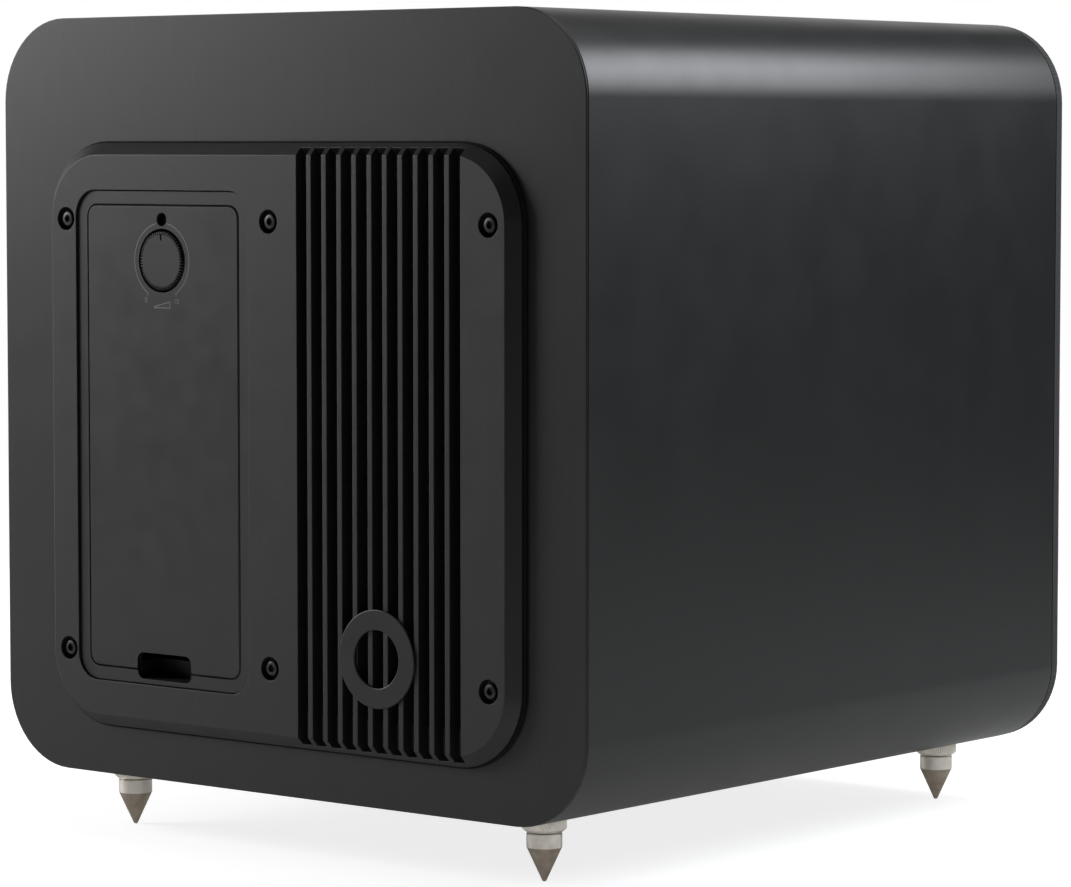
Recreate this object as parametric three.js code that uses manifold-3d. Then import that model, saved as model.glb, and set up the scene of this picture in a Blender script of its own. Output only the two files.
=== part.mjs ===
// Powered subwoofer with an eight-inch driver, a rear amplifier plate and four levelling spikes.
// Units are millimetres. +Z is up, -Y is the grille side and +Y is the amplifier side.
// The origin lies on the floor under the middle of the object's bounding box.

import * as THREE from 'three';
import { mergeVertices } from 'three/addons/utils/BufferGeometryUtils.js';
import Module from 'manifold-3d';

const wasm = await Module();
wasm.setup();

// Clearances
const GAP = 0.3;
const SLIP = 0.4;
const SCREW_HOLE = 1.9;

// Cabinet
const WIDTH = 294;
const HEIGHT = 294;
const DEPTH = 311.4;
const CORNER = 32.4;
const WALL = 15;
const PANEL_CAP = 0.8;
const SOFT_EDGE = 0.25;
const SPIKE_HEIGHT = 24.5;
const PROUD = 7.5;
const REAR = (DEPTH + PROUD) / 2 - PROUD;
const FRONT = REAR - DEPTH;
const MIDDLE = SPIKE_HEIGHT + HEIGHT / 2;

// Grille
const GRILLE = 6;
const CLOTH = 0.6;
const GRILLE_RIM = 14;
const GRILLE_BEVEL = 1.4;
const RIM = FRONT + GRILLE + GAP;

// Front baffle and driver
const BAFFLE_SETBACK = 14;
const BAFFLE = 18;
const BAFFLE_FACE = RIM + BAFFLE_SETBACK;
const FLANGE_RADIUS = 107;
const FLANGE = 4;
const CUTOUT_RADIUS = 95;
const DRIVER_SCREW_CIRCLE = 100;
const DRIVER_SCREWS = 6;
const FLANGE_HOLE = 2.4;
const ROLL_RADIUS = 80;
const ROLL = 8;
const CONE_EDGE = 72;
const COIL_RADIUS = 25.2;

// Levelling spikes
const SPIKE_INSET_X = 42;
const SPIKE_INSET_Y = 28;
const RING_HEIGHT = 6;
const RING_RADIUS = 8.3;
const SPIKE_RADIUS = 6.6;
const SPIKE_CONE = 12.8;
const STUD_RADIUS = 3.8;
const STUD_LENGTH = 13;

// Amplifier plate
const PLATE_X = -0.3;
const PLATE_Z = SPIKE_HEIGHT + 132.6;
const PLATE_WIDTH = 238.1;
const PLATE_HEIGHT = 225.9;
const PLATE_CORNER = 29.3;
const PLATE_FACE = 6.5;
const PLATE_BASE = 1.5;
const PLATE_CHAMFER = 4.5;
const OPENING_WIDTH = 201;
const OPENING_HEIGHT = 208;
const OPENING_CORNER = 8;
const SEAL_PROUD = 0.7;
const PLATE_SCREW_X = 106.9;
const PLATE_SCREW_Z = 83.7;
const PLATE_EDGE = 0.8;
const COUNTERBORE = 4.5;
const COUNTERBORE_DEPTH = 3.6;
const SCREW_HEAD = 2.75;

// Heat-sink grooves
const GROOVES = 11;
const GROOVE_PITCH = 7.45;
const GROOVE_WIDTH = 5.1;
const GROOVE_DEPTH = 7.5;
const GROOVE_END_DEPTH = 5.2;
const GROOVE_LENGTH = 218.4;
const GROOVE_RAMP = 1.35;
const GROOVE_X = -54.3;
const SINK_WIDTH = 84;
const SINK_HEIGHT = 201;
const PAD_HEIGHT = 221;
const SINK_BACK = -9;

// Connection tray and its cover
const TRAY_X = 55.7;
const TRAY_WIDTH = 91;
const TRAY_HEIGHT = 190;
const TRAY_CORNER = 10;
const TRAY_FACE = 5.5;
const TRAY_FLOOR = -42;
const COVER_WIDTH = 79.6;
const COVER_HEIGHT = 178.6;
const COVER_CORNER = 4.6;
const COVER_FACE = 5.7;
const COVER = 2.2;
const LEDGE = 3;
const SLOT_WIDTH = 28.7;
const SLOT_LOW = 64.2;
const SLOT_HIGH = 74.5;
const SLOT_CORNER = 3.2;
const SLOT_DEPTH = 7;

// Controls
const KNOB_Z = 225.3;
const KNOB_HOLE = 12.2;
const KNOB_GAP = 0.7;
const LED_Z = 241;
const LED_HOLE = 2.6;
const CROSSOVER_Z = 194;
const INPUTS_Z = 166;
const SWITCH_Z = 142;
const SWITCH_SPREAD = 16;
const MAINS_Z = 104;

const BADGE_Z = 81.2;
const BADGE_RADIUS = 18.4;
const BADGE_HOLE = 10.7;

const subwoofer = new THREE.Group();

// ---------------------------------------------------------------- helpers

function finish(color, roughness, metalness = 0) {
  return new THREE.MeshStandardMaterial({ color, roughness, metalness });
}

const satinBlack = () => finish(0x2b2b2d, 0.42);
const bareBoard = () => finish(0x6e5a43, 0.85);
const castBlack = () => finish(0x3a3a3b, 0.6, 0.2);
const mouldedBlack = () => finish(0x2f3032, 0.55);
const rubberBlack = () => finish(0x161616, 0.8);
const nickel = () => finish(0xa89f92, 0.32, 1);
const steel = () => finish(0x77797c, 0.4, 1);
const blackSteel = () => finish(0x1d1d1e, 0.45, 0.6);

function add(name, geometry, material) {
  const mesh = new THREE.Mesh(geometry, material);
  mesh.name = name;
  subwoofer.add(mesh);
  return mesh;
}

// Six times the enclosed volume: positive when the faces point outwards.
function signedVolume(positions, index) {
  const a = new THREE.Vector3();
  const b = new THREE.Vector3();
  const c = new THREE.Vector3();
  let total = 0;
  for (let i = 0; i < index.length; i += 3) {
    a.fromBufferAttribute(positions, index[i]);
    b.fromBufferAttribute(positions, index[i + 1]);
    c.fromBufferAttribute(positions, index[i + 2]);
    total += a.dot(b.cross(c));
  }
  return total;
}

// One closed skin: shared vertices, no collapsed triangles, faces pointing out.
function closed(geometry) {
  const bare = geometry.clone();
  bare.deleteAttribute('normal');
  bare.deleteAttribute('uv');
  const merged = mergeVertices(bare, 1e-4);
  const source = merged.index.array;
  const kept = [];
  for (let i = 0; i < source.length; i += 3) {
    const corners = [source[i], source[i + 1], source[i + 2]];
    if (new Set(corners).size === 3) kept.push(...corners);
  }
  if (signedVolume(merged.attributes.position, kept) < 0) kept.reverse();
  merged.setIndex(kept);
  return merged;
}

function toSolid(geometry) {
  const skin = closed(geometry);
  return new wasm.Manifold(new wasm.Mesh({
    numProp: 3,
    vertProperties: new Float32Array(skin.attributes.position.array),
    triVerts: new Uint32Array(skin.index.array),
  }));
}

function toGeometry(solid) {
  const mesh = solid.getMesh();
  const geometry = new THREE.BufferGeometry();
  geometry.setAttribute('position', new THREE.BufferAttribute(mesh.vertProperties, 3));
  geometry.setIndex(new THREE.BufferAttribute(mesh.triVerts, 1));
  geometry.computeVertexNormals();
  return geometry;
}

function carve(base, { join = [], cut = [] }) {
  let solid = toSolid(base);
  for (const piece of join) solid = solid.add(toSolid(piece));
  for (const piece of cut) solid = solid.subtract(toSolid(piece));
  return toGeometry(solid);
}

// Points of a rounded rectangle in the XZ plane, the same number for every size.
function roundedOutline(width, height, radius, x, z, steps) {
  const points = [];
  const centres = [[1, 1], [-1, 1], [-1, -1], [1, -1]];
  centres.forEach(([sx, sz], quarter) => {
    for (let i = 0; i <= steps; i += 1) {
      const angle = (quarter + i / steps) * Math.PI / 2;
      points.push([
        x + sx * (width / 2 - radius) + radius * Math.cos(angle),
        z + sz * (height / 2 - radius) + radius * Math.sin(angle),
      ]);
    }
  });
  return points;
}

function shapeOf(points) {
  return new THREE.Shape(points.map(([x, z]) => new THREE.Vector2(x, z)));
}

function rectangle(width, height, x, z) {
  const [a, b] = [width / 2, height / 2];
  return shapeOf([[x - a, z - b], [x + a, z - b], [x + a, z + b], [x - a, z + b]]);
}

function roundedShape(width, height, radius, x = 0, z = MIDDLE, steps = 12) {
  return shapeOf(roundedOutline(width, height, radius, x, z, steps));
}

// A shape drawn in X and Z, filling the space from low to high along Y.
function slab(shape, low, high) {
  const geometry = new THREE.ExtrudeGeometry(shape, { depth: high - low, bevelEnabled: false });
  geometry.rotateX(Math.PI / 2);
  geometry.translate(0, high, 0);
  return geometry;
}

// A shape drawn in Z and Y, given as [z, y] corners and filling the space from low to high along X.
function rail(corners, low, high) {
  const shape = shapeOf(corners);
  const geometry = new THREE.ExtrudeGeometry(shape, { depth: high - low, bevelEnabled: false });
  const [zAxis, yAxis, xAxis] = [
    new THREE.Vector3(0, 0, 1), new THREE.Vector3(0, 1, 0), new THREE.Vector3(1, 0, 0),
  ];
  geometry.applyMatrix4(new THREE.Matrix4().makeBasis(zAxis, yAxis, xAxis));
  geometry.translate(low, 0, 0);
  return closed(geometry);
}

// The section of a stack that lies a margin inside the one given, at y.
function inset({ width, height, radius }, margin, y) {
  return { width: width - 2 * margin, height: height - 2 * margin, radius: radius - margin, y };
}

// A stack of rounded rectangles, each { width, height, radius, y }, skinned into one solid.
function stack(sections, x = 0, z = MIDDLE, steps = 12) {
  const positions = [];
  const index = [];
  const count = 4 * (steps + 1);
  for (const { width, height, radius, y } of sections) {
    for (const [px, pz] of roundedOutline(width, height, radius, x, z, steps)) positions.push(px, y, pz);
  }
  for (let ring = 0; ring + 1 < sections.length; ring += 1) {
    for (let i = 0; i < count; i += 1) {
      const a = ring * count + i;
      const b = ring * count + (i + 1) % count;
      index.push(a, b, b + count, a, b + count, a + count);
    }
  }
  const last = (sections.length - 1) * count;
  for (let i = 1; i + 1 < count; i += 1) {
    index.push(0, i + 1, i);
    index.push(last, last + i, last + i + 1);
  }
  const geometry = new THREE.BufferGeometry();
  geometry.setAttribute('position', new THREE.Float32BufferAttribute(positions, 3));
  geometry.setIndex(index);
  return closed(geometry);
}

// A turned solid on the Y axis; the profile is a list of [radius, y] corners.
function turned(profile, segments = 36) {
  const points = profile.map(([radius, y]) => new THREE.Vector2(radius, y));
  const startsOnAxis = profile[0][0] === 0;
  if (!startsOnAxis) points.push(points[0].clone());
  return closed(new THREE.LatheGeometry(points, segments));
}

// A round bar or hole along Y.
function bar(radius, low, high, x, z, segments = 20) {
  const geometry = turned([[0, low], [radius, low], [radius, high], [0, high]], segments);
  geometry.translate(x, 0, z);
  return geometry;
}

// A turned solid standing on Z; the profile is a list of [radius, z] corners.
function standing(profile, segments, x, y) {
  const geometry = turned(profile, segments);
  geometry.rotateX(Math.PI / 2);
  geometry.translate(x, y, 0);
  return geometry;
}

function block(width, depth, height, x, y, z) {
  const geometry = new THREE.BoxGeometry(width, depth, height);
  geometry.translate(x, y, z);
  return geometry;
}

// ---------------------------------------------------------------- cabinet

const spikePlaces = [];
for (const [side, x] of [['left', 1], ['right', -1]]) {
  spikePlaces.push({ name: `rear_${side}`, x: x * (WIDTH / 2 - SPIKE_INSET_X), y: REAR - SPIKE_INSET_Y });
  spikePlaces.push({ name: `front_${side}`, x: x * (WIDTH / 2 - SPIKE_INSET_X), y: FRONT + SPIKE_INSET_Y });
}

const rimCentre = WIDTH / 2 - WALL / 2;
const magnetPlaces = [
  { name: 'top', x: 0, z: MIDDLE + rimCentre },
  { name: 'bottom', x: 0, z: MIDDLE - rimCentre },
  { name: 'left', x: rimCentre, z: MIDDLE },
  { name: 'right', x: -rimCentre, z: MIDDLE },
];
const MAGNET_RADIUS = 4;
const MAGNET = 3;

const panelBack = REAR - WALL;
const wrapEnd = REAR - PANEL_CAP - GAP;
const INSIDE = WIDTH - 2 * WALL;
const INSIDE_CORNER = CORNER - WALL;
const PLUG = INSIDE - 2 * GAP;

// Wrapped sleeve, open at both ends.
function cabinetWrap() {
  const outer = { width: WIDTH, height: HEIGHT, radius: CORNER };
  const body = stack([
    { ...outer, y: RIM },
    { ...outer, y: wrapEnd - SOFT_EDGE },
    inset(outer, SOFT_EDGE, wrapEnd),
  ], 0, MIDDLE, 14);
  const hollow = roundedShape(INSIDE, INSIDE, INSIDE_CORNER, 0, MIDDLE, 6);
  const cut = [slab(hollow, RIM - 1, REAR)];
  for (const { x, y } of spikePlaces) {
    const [low, high] = [SPIKE_HEIGHT - 1, SPIKE_HEIGHT + WALL + 1];
    const bore = STUD_RADIUS + 2 * GAP;
    cut.push(standing([[0, low], [bore, low], [bore, high], [0, high]], 16, x, y));
  }
  for (const { x, z } of magnetPlaces) {
    cut.push(bar(MAGNET_RADIUS + GAP, RIM - 1, RIM + MAGNET + GAP, x, z, 16));
  }
  return carve(body, { cut });
}

// The hole in the rear panel that the amplifier passes through.
function plateOpening() {
  return roundedShape(OPENING_WIDTH, OPENING_HEIGHT, OPENING_CORNER, PLATE_X, PLATE_Z, 4);
}

function plateScrewPlaces() {
  const places = [];
  for (const column of [-1, 0, 1]) {
    for (const row of [-1, 1]) {
      places.push({ column, x: PLATE_X + column * PLATE_SCREW_X, z: PLATE_Z + row * PLATE_SCREW_Z });
    }
  }
  return places;
}

// A plug inside the sleeve, with a thin cap that covers the sleeve's end.
function rearPanel() {
  const outer = { width: WIDTH, height: HEIGHT, radius: CORNER };
  const cap = stack([
    { ...outer, y: REAR - PANEL_CAP },
    { ...outer, y: REAR - SOFT_EDGE },
    inset(outer, SOFT_EDGE, REAR),
  ], 0, MIDDLE, 14);
  const inner = roundedShape(PLUG, PLUG, INSIDE_CORNER - GAP, 0, MIDDLE, 8);
  const plug = slab(inner, panelBack, REAR - PANEL_CAP / 2);
  const cut = [slab(plateOpening(), panelBack - 1, REAR + 1)];
  for (const { column, x, z } of plateScrewPlaces()) {
    if (column !== 0) cut.push(bar(SCREW_HOLE, panelBack - 1, REAR + 1, x, z, 12));
  }
  return carve(cap, { join: [plug], cut });
}

function frontBaffle() {
  const back = BAFFLE_FACE + BAFFLE;
  const body = slab(roundedShape(PLUG, PLUG, INSIDE_CORNER - GAP, 0, MIDDLE, 8), BAFFLE_FACE, back);
  const cut = [
    bar(FLANGE_RADIUS + SLIP, BAFFLE_FACE - 1, BAFFLE_FACE + FLANGE + GAP, 0, MIDDLE, 36),
    bar(CUTOUT_RADIUS, BAFFLE_FACE - 1, back + 1, 0, MIDDLE, 36),
  ];
  for (const { x, z } of driverScrewPlaces()) cut.push(bar(SCREW_HOLE, BAFFLE_FACE, back - 3, x, z, 12));
  return carve(body, { cut });
}

function windowBrace() {
  const [window, windowCorner] = [170, 30];
  const [front, back] = [-20, -8];
  const shape = roundedShape(PLUG, PLUG, INSIDE_CORNER - GAP, 0, MIDDLE, 8);
  shape.holes.push(roundedShape(window, window, windowCorner, 0, MIDDLE, 8));
  return slab(shape, front, back);
}

// A felt-like lining against the top and both side walls, with its corners cut across.
function wadding() {
  const thickness = 18;
  const bevel = 12;
  const half = INSIDE / 2 - 1;
  const top = MIDDLE + half;
  const low = MIDDLE - 90;
  const inner = half - thickness;
  const under = top - thickness;
  const [front, back] = [-6, 118];
  const shape = shapeOf([
    [-half, low], [-inner, low], [-inner, under - bevel], [-inner + bevel, under],
    [inner - bevel, under], [inner, under - bevel], [inner, low], [half, low],
    [half, top - thickness], [half - thickness, top], [-half + thickness, top], [-half, top - thickness],
  ]);
  return slab(shape, front, back);
}

add('cabinet_wrap', cabinetWrap(), satinBlack());
add('rear_panel', rearPanel(), satinBlack());
add('window_brace', windowBrace(), bareBoard());
add('acoustic_wadding', wadding(), finish(0xd8d6d0, 0.95));

for (const { name, x, z } of magnetPlaces) {
  add(`grille_magnet_${name}`, bar(MAGNET_RADIUS, RIM + 0.1, RIM + MAGNET, x, z, 16), nickel());
}

// ---------------------------------------------------------------- spikes

// Blunt cone under a short cylinder, with the stud that screws into the cabinet.
function spike(x, y) {
  const tip = 0.8;
  const edge = 0.4;
  const shoulder = SPIKE_HEIGHT - RING_HEIGHT - GAP;
  const top = SPIKE_HEIGHT + STUD_LENGTH;
  return standing([
    [0, 0], [tip, 0], [SPIKE_RADIUS, SPIKE_CONE], [SPIKE_RADIUS, shoulder - edge],
    [SPIKE_RADIUS - edge, shoulder], [STUD_RADIUS, shoulder], [STUD_RADIUS, top], [0, top],
  ], 16, x, y);
}

function lockRing(x, y) {
  const top = SPIKE_HEIGHT - GAP;
  const low = SPIKE_HEIGHT - RING_HEIGHT;
  const bore = STUD_RADIUS + GAP;
  const [chamfer, rise, edge] = [1.5, 1.2, 0.4];
  return standing([
    [bore, low], [RING_RADIUS - chamfer, low], [RING_RADIUS, low + rise], [RING_RADIUS, top - edge],
    [RING_RADIUS - edge, top], [bore, top],
  ], 20, x, y);
}

for (const { name, x, y } of spikePlaces) {
  add(`spike_${name}`, spike(x, y), nickel());
  add(`lock_ring_${name}`, lockRing(x, y), nickel());
}

// ---------------------------------------------------------------- driver

function driverScrewPlaces() {
  const places = [];
  for (let i = 0; i < DRIVER_SCREWS; i += 1) {
    const angle = (i + 0.5) * 2 * Math.PI / DRIVER_SCREWS;
    const x = DRIVER_SCREW_CIRCLE * Math.cos(angle);
    const z = MIDDLE + DRIVER_SCREW_CIRCLE * Math.sin(angle);
    places.push({ x, z });
  }
  return places;
}

// A turned driver piece: radius against depth behind the baffle face.
function driverRing(profile, segments = 36) {
  const geometry = turned(profile.map(([radius, depth]) => [radius, BAFFLE_FACE + depth]), segments);
  geometry.translate(0, 0, MIDDLE);
  return geometry;
}

const SPIDER_DEPTH = 42;
const BASKET_BACK = 61;
const TOP_PLATE = 8;
const MAGNET_DEPTH = 20;
const BACK_PLATE = 8;
const STEEL_RADIUS = 60;
const magnetFront = BASKET_BACK + GAP + TOP_PLATE + GAP;
const yokeFront = magnetFront + MAGNET_DEPTH + GAP;

function basket() {
  const shell = driverRing([
    [86, 0], [FLANGE_RADIUS, 0], [FLANGE_RADIUS, FLANGE], [92, FLANGE], [66, 40], [66, 57], [66, BASKET_BACK],
    [30, BASKET_BACK], [30, BASKET_BACK - 4], [56, BASKET_BACK - 4], [56, SPIDER_DEPTH + 2],
    [60, SPIDER_DEPTH + 2], [62.5, 40], [88, 4],
  ]);
  const cut = [];
  const windows = 6;
  for (let i = 0; i < windows; i += 1) {
    const window = block(46, 30, 44, 0, BAFFLE_FACE + 24, 82);
    window.rotateY(i * 2 * Math.PI / windows);
    window.translate(0, 0, MIDDLE);
    cut.push(window);
  }
  for (const { x, z } of driverScrewPlaces()) {
    cut.push(bar(FLANGE_HOLE, BAFFLE_FACE - 1, BAFFLE_FACE + FLANGE + 1, x, z, 12));
  }
  return carve(shell, { cut });
}

function gasketRing() {
  const ring = driverRing([[94.4, -2.8], [105.5, -2.8], [106.5, -1.8], [106.5, -GAP], [94.4, -GAP]]);
  const cut = driverScrewPlaces().map(({ x, z }) => bar(FLANGE_HOLE, BAFFLE_FACE - 4, BAFFLE_FACE, x, z, 12));
  return carve(ring, { cut });
}

// Half-roll suspension with a lip on the basket and a lip on the cone.
function surround() {
  const thickness = 1.2;
  const back = -GAP;
  const front = back - thickness;
  const steps = 6;
  const profile = [[94, back], [94, front]];
  for (let i = 0; i <= steps; i += 1) {
    const angle = Math.PI * i / steps;
    profile.push([ROLL_RADIUS + ROLL * Math.cos(angle), front - ROLL * Math.sin(angle)]);
  }
  profile.push([CONE_EDGE - 4.5, front], [CONE_EDGE - 4.5, back]);
  const inner = ROLL - thickness;
  for (let i = steps; i >= 0; i -= 1) {
    const angle = Math.PI * i / steps;
    profile.push([ROLL_RADIUS + inner * Math.cos(angle), back - inner * Math.sin(angle)]);
  }
  return driverRing(profile);
}

const NECK = COIL_RADIUS + 1.4;
const NECK_DEPTH = 37;

function cone() {
  const thickness = 1.6;
  return driverRing([
    [CONE_EDGE, 0], [CONE_EDGE, thickness], [CONE_EDGE - 5, thickness + 0.6], [NECK + 1.5, NECK_DEPTH],
    [NECK, NECK_DEPTH], [NECK, NECK_DEPTH - 2.4], [CONE_EDGE - 5, 0.4],
  ]);
}

function dustCap() {
  const profile = [];
  const rim = 40;
  const seat = 22;
  const crown = 10;
  const steps = 5;
  for (let i = 0; i <= steps; i += 1) {
    const angle = Math.PI / 2 * i / steps;
    profile.push([rim * Math.sin(angle), seat - crown * Math.cos(angle)]);
  }
  profile.push([rim - 1.6, seat + 0.6]);
  for (let i = steps; i >= 0; i -= 1) {
    const angle = Math.PI / 2 * i / steps;
    profile.push([(rim - 2.4) * Math.sin(angle), seat + 1.2 - crown * Math.cos(angle)]);
  }
  return driverRing(profile, 28);
}

function voiceCoil() {
  const former = COIL_RADIUS + 0.9;
  const winding = COIL_RADIUS + 1.5;
  return driverRing([
    [COIL_RADIUS, NECK_DEPTH - 3], [former, NECK_DEPTH - 3], [former, 55], [winding, 56], [winding, 74],
    [COIL_RADIUS, 74],
  ], 28);
}

// Corrugated centring disc between the former and the basket ledge.
function spider() {
  const inner = COIL_RADIUS + 1.3;
  const outer = 59.4;
  const steps = 10;
  const thickness = 1;
  const front = [];
  const back = [];
  for (let i = 0; i <= steps; i += 1) {
    const radius = inner + (outer - inner) * i / steps;
    const wave = i > 0 && i < steps ? 1.5 * Math.cos(i * Math.PI) : 0;
    front.push([radius, SPIDER_DEPTH - GAP - thickness + wave]);
    back.unshift([radius, SPIDER_DEPTH - GAP + wave]);
  }
  return driverRing([...front, ...back], 28);
}

function yoke() {
  const front = BASKET_BACK + GAP;
  const back = yokeFront + BACK_PLATE;
  const pole = COIL_RADIUS - 0.8;
  const vent = 8;
  return driverRing([
    [vent, back], [STEEL_RADIUS, back], [STEEL_RADIUS, yokeFront],
    [pole, yokeFront], [pole, front], [vent, front],
  ], 28);
}

function topPlate() {
  const bore = COIL_RADIUS + 2.2;
  const front = BASKET_BACK + GAP;
  const back = front + TOP_PLATE;
  return driverRing([[bore, front], [STEEL_RADIUS, front], [STEEL_RADIUS, back], [bore, back]], 28);
}

function ferriteMagnet() {
  const [bore, radius] = [35, 70];
  const back = magnetFront + MAGNET_DEPTH;
  return driverRing([[bore, magnetFront], [radius, magnetFront], [radius, back], [bore, back]], 28);
}

add('front_baffle', frontBaffle(), satinBlack());
add('driver_basket', basket(), castBlack());
add('driver_gasket', gasketRing(), rubberBlack());
add('cone_surround', surround(), rubberBlack());
add('cone', cone(), finish(0x1c1c1e, 0.55));
add('dust_cap', dustCap(), finish(0x18181a, 0.45));
add('voice_coil', voiceCoil(), finish(0xb8743a, 0.4, 0.7));
add('centring_spider', spider(), finish(0xc49a5a, 0.9));
add('top_plate', topPlate(), steel());
add('ferrite_magnet', ferriteMagnet(), finish(0x2a2a2a, 0.7));
add('magnet_yoke', yoke(), steel());
add('driver_terminals', block(18, 10, 8, 0, BAFFLE_FACE + 52, MIDDLE - 66 - GAP - 4), finish(0x20201f, 0.6));

driverScrewPlaces().forEach(({ x, z }, i) => {
  const head = BAFFLE_FACE - 3.1;
  const screw = turned([
    [0, head - 2.6], [2.8, head - 2.6], [3.4, head - 1.8], [3.4, head],
    [1.7, head], [1.7, head + 16], [0, head + 17],
  ], 10);
  screw.translate(x, 0, z);
  add(`driver_screw_${i + 1}`, screw, blackSteel());
});

// ---------------------------------------------------------------- grille

function grilleFrame() {
  const outer = { width: WIDTH - 1, height: HEIGHT - 1, radius: CORNER - 0.5 };
  const back = FRONT + GRILLE;
  const front = FRONT + CLOTH + GAP;
  const body = stack([
    { ...outer, y: back },
    { ...outer, y: front + GRILLE_BEVEL },
    inset(outer, GRILLE_BEVEL, front),
  ]);
  const window = inset(outer, GRILLE_RIM, FRONT);
  const opening = roundedShape(window.width, window.height, window.radius, 0, MIDDLE, 6);
  return carve(body, { cut: [slab(opening, FRONT - 1, back + 1)] });
}

// Stretched knit over the frame's face.
function grilleCloth() {
  const margin = 0.5 + GRILLE_BEVEL;
  const shape = roundedShape(WIDTH - 2 * margin, HEIGHT - 2 * margin, CORNER - margin);
  return slab(shape, FRONT, FRONT + CLOTH);
}

add('grille_frame', grilleFrame(), mouldedBlack());
add('grille_cloth', grilleCloth(), finish(0x141415, 0.95));

// ---------------------------------------------------------------- amplifier plate

// A parallel-sided groove, deeper over the heat sink, with ramped ends that run out in the plate's chamfer.
function groove(x) {
  const face = REAR + PLATE_FACE;
  const top = face + 1;
  const floor = face - GROOVE_DEPTH;
  const step = face - GROOVE_END_DEPTH;
  const deep = SINK_HEIGHT / 2 - 1;
  const long = GROOVE_LENGTH / 2;
  const high = long + (top - step) / GROOVE_RAMP;
  const half = [[deep, floor], [deep, step], [long, step], [high, top]];
  const upper = half.map(([z, y]) => [PLATE_Z + z, y]);
  const lower = half.map(([z, y]) => [PLATE_Z - z, y]).reverse();
  return rail([...upper, ...lower], x - GROOVE_WIDTH / 2, x + GROOVE_WIDTH / 2);
}

function ampPlate() {
  const face = REAR + PLATE_FACE;
  const base = REAR + PLATE_BASE;
  const outer = { width: PLATE_WIDTH, height: PLATE_HEIGHT, radius: PLATE_CORNER };
  const body = stack([
    { ...outer, y: base },
    { ...outer, y: base + PLATE_EDGE },
    inset(outer, PLATE_CHAMFER, face),
  ], PLATE_X, PLATE_Z);
  const sink = slab(rectangle(SINK_WIDTH, SINK_HEIGHT, GROOVE_X, PLATE_Z), REAR + SINK_BACK, base + 1);
  const pad = slab(rectangle(SINK_WIDTH, PAD_HEIGHT, GROOVE_X, PLATE_Z), REAR + GAP, base + 1);
  const window = roundedShape(TRAY_WIDTH, TRAY_HEIGHT, TRAY_CORNER, TRAY_X, PLATE_Z, 8);
  const cut = [slab(window, REAR - 2, face + 1)];
  for (let i = 0; i < GROOVES; i += 1) {
    cut.push(groove(GROOVE_X + (i - (GROOVES - 1) / 2) * GROOVE_PITCH));
  }
  for (const { x, z } of plateScrewPlaces()) {
    cut.push(bar(COUNTERBORE, face - COUNTERBORE_DEPTH, face + 1, x, z, 24));
    cut.push(bar(SCREW_HOLE, REAR + SINK_BACK - 1, face, x, z, 12));
  }
  return carve(body, { join: [sink, pad], cut });
}

// Foam seal between the plate and the rear panel, squeezed out a little past the plate's edge.
function plateGasket() {
  const width = PLATE_WIDTH + 2 * SEAL_PROUD;
  const height = PLATE_HEIGHT + 2 * SEAL_PROUD;
  const shape = roundedShape(width, height, PLATE_CORNER + SEAL_PROUD, PLATE_X, PLATE_Z, 12);
  shape.holes.push(plateOpening());
  const sheet = slab(shape, REAR + GAP, REAR + PLATE_BASE - GAP);
  const notch = rectangle(SINK_WIDTH + 2 * GAP, PAD_HEIGHT + 2 * GAP, GROOVE_X, PLATE_Z);
  const holes = plateScrewPlaces()
    .filter(({ column }) => column !== 0)
    .map(({ x, z }) => bar(SCREW_HOLE, REAR - 1, REAR + 3, x, z, 12));
  return carve(sheet, { cut: [slab(notch, REAR, REAR + 3), ...holes] });
}

// Socket-cap screw in its counterbore.
function plateScrew(x, z) {
  const shank = 1.6;
  const length = 13;
  const edge = 0.4;
  const seat = REAR + PLATE_FACE - COUNTERBORE_DEPTH + GAP;
  const top = seat + 2.6;
  const body = turned([
    [0, seat - length], [shank, seat - length], [shank, seat], [SCREW_HEAD, seat], [SCREW_HEAD, top - edge],
    [SCREW_HEAD - edge, top], [0, top],
  ], 12);
  body.translate(x, 0, z);
  return carve(body, { cut: [bar(1.45, top - 1.6, top + 1, x, z, 6)] });
}

const BOX_WALL = 1.6;
const boxBack = REAR - 82;

// Steel box that closes the amplifier off from the air inside, with a boss for each middle screw.
function backBox() {
  const width = OPENING_WIDTH - 3;
  const height = OPENING_HEIGHT - 3;
  const high = REAR;
  const corner = 2;
  const outer = roundedShape(width, height, corner + BOX_WALL, PLATE_X, PLATE_Z, 3);
  const inner = roundedShape(width - 2 * BOX_WALL, height - 2 * BOX_WALL, corner, PLATE_X, PLATE_Z, 3);
  const shell = carve(slab(outer, boxBack, high), { cut: [slab(inner, boxBack + BOX_WALL, high + 1)] });
  const join = [];
  const cut = [];
  for (const { x, z } of plateScrewPlaces().filter(({ column }) => column === 0)) {
    join.push(bar(3.6, boxBack + BOX_WALL / 2, high, x, z, 16));
    cut.push(bar(SCREW_HOLE, high - 16, high + 1, x, z, 12));
  }
  return carve(shell, { join, cut });
}

// Circuit board against the heat sink, with its coil, heat spreader, connectors and capacitors.
function ampBoard() {
  const front = REAR + SINK_BACK - GAP;
  const x = GROOVE_X;
  const board = block(SINK_WIDTH, 1.6, 150, x, front - 0.8, PLATE_Z);
  const join = [
    block(20, 13, 24, x - 22, front - 7, PLATE_Z + 50),
    block(26, 9, 26, x + 16, front - 5, PLATE_Z + 44),
    block(60, 8, 10, x, front - 5, PLATE_Z - 62),
    bar(9, front - 24, front - 1, x - 26, PLATE_Z + 14, 20),
    bar(9, front - 24, front - 1, x - 26, PLATE_Z - 8, 20),
    bar(6, front - 16, front - 1, x + 6, PLATE_Z + 8, 16),
  ];
  return carve(board, { join });
}

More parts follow.
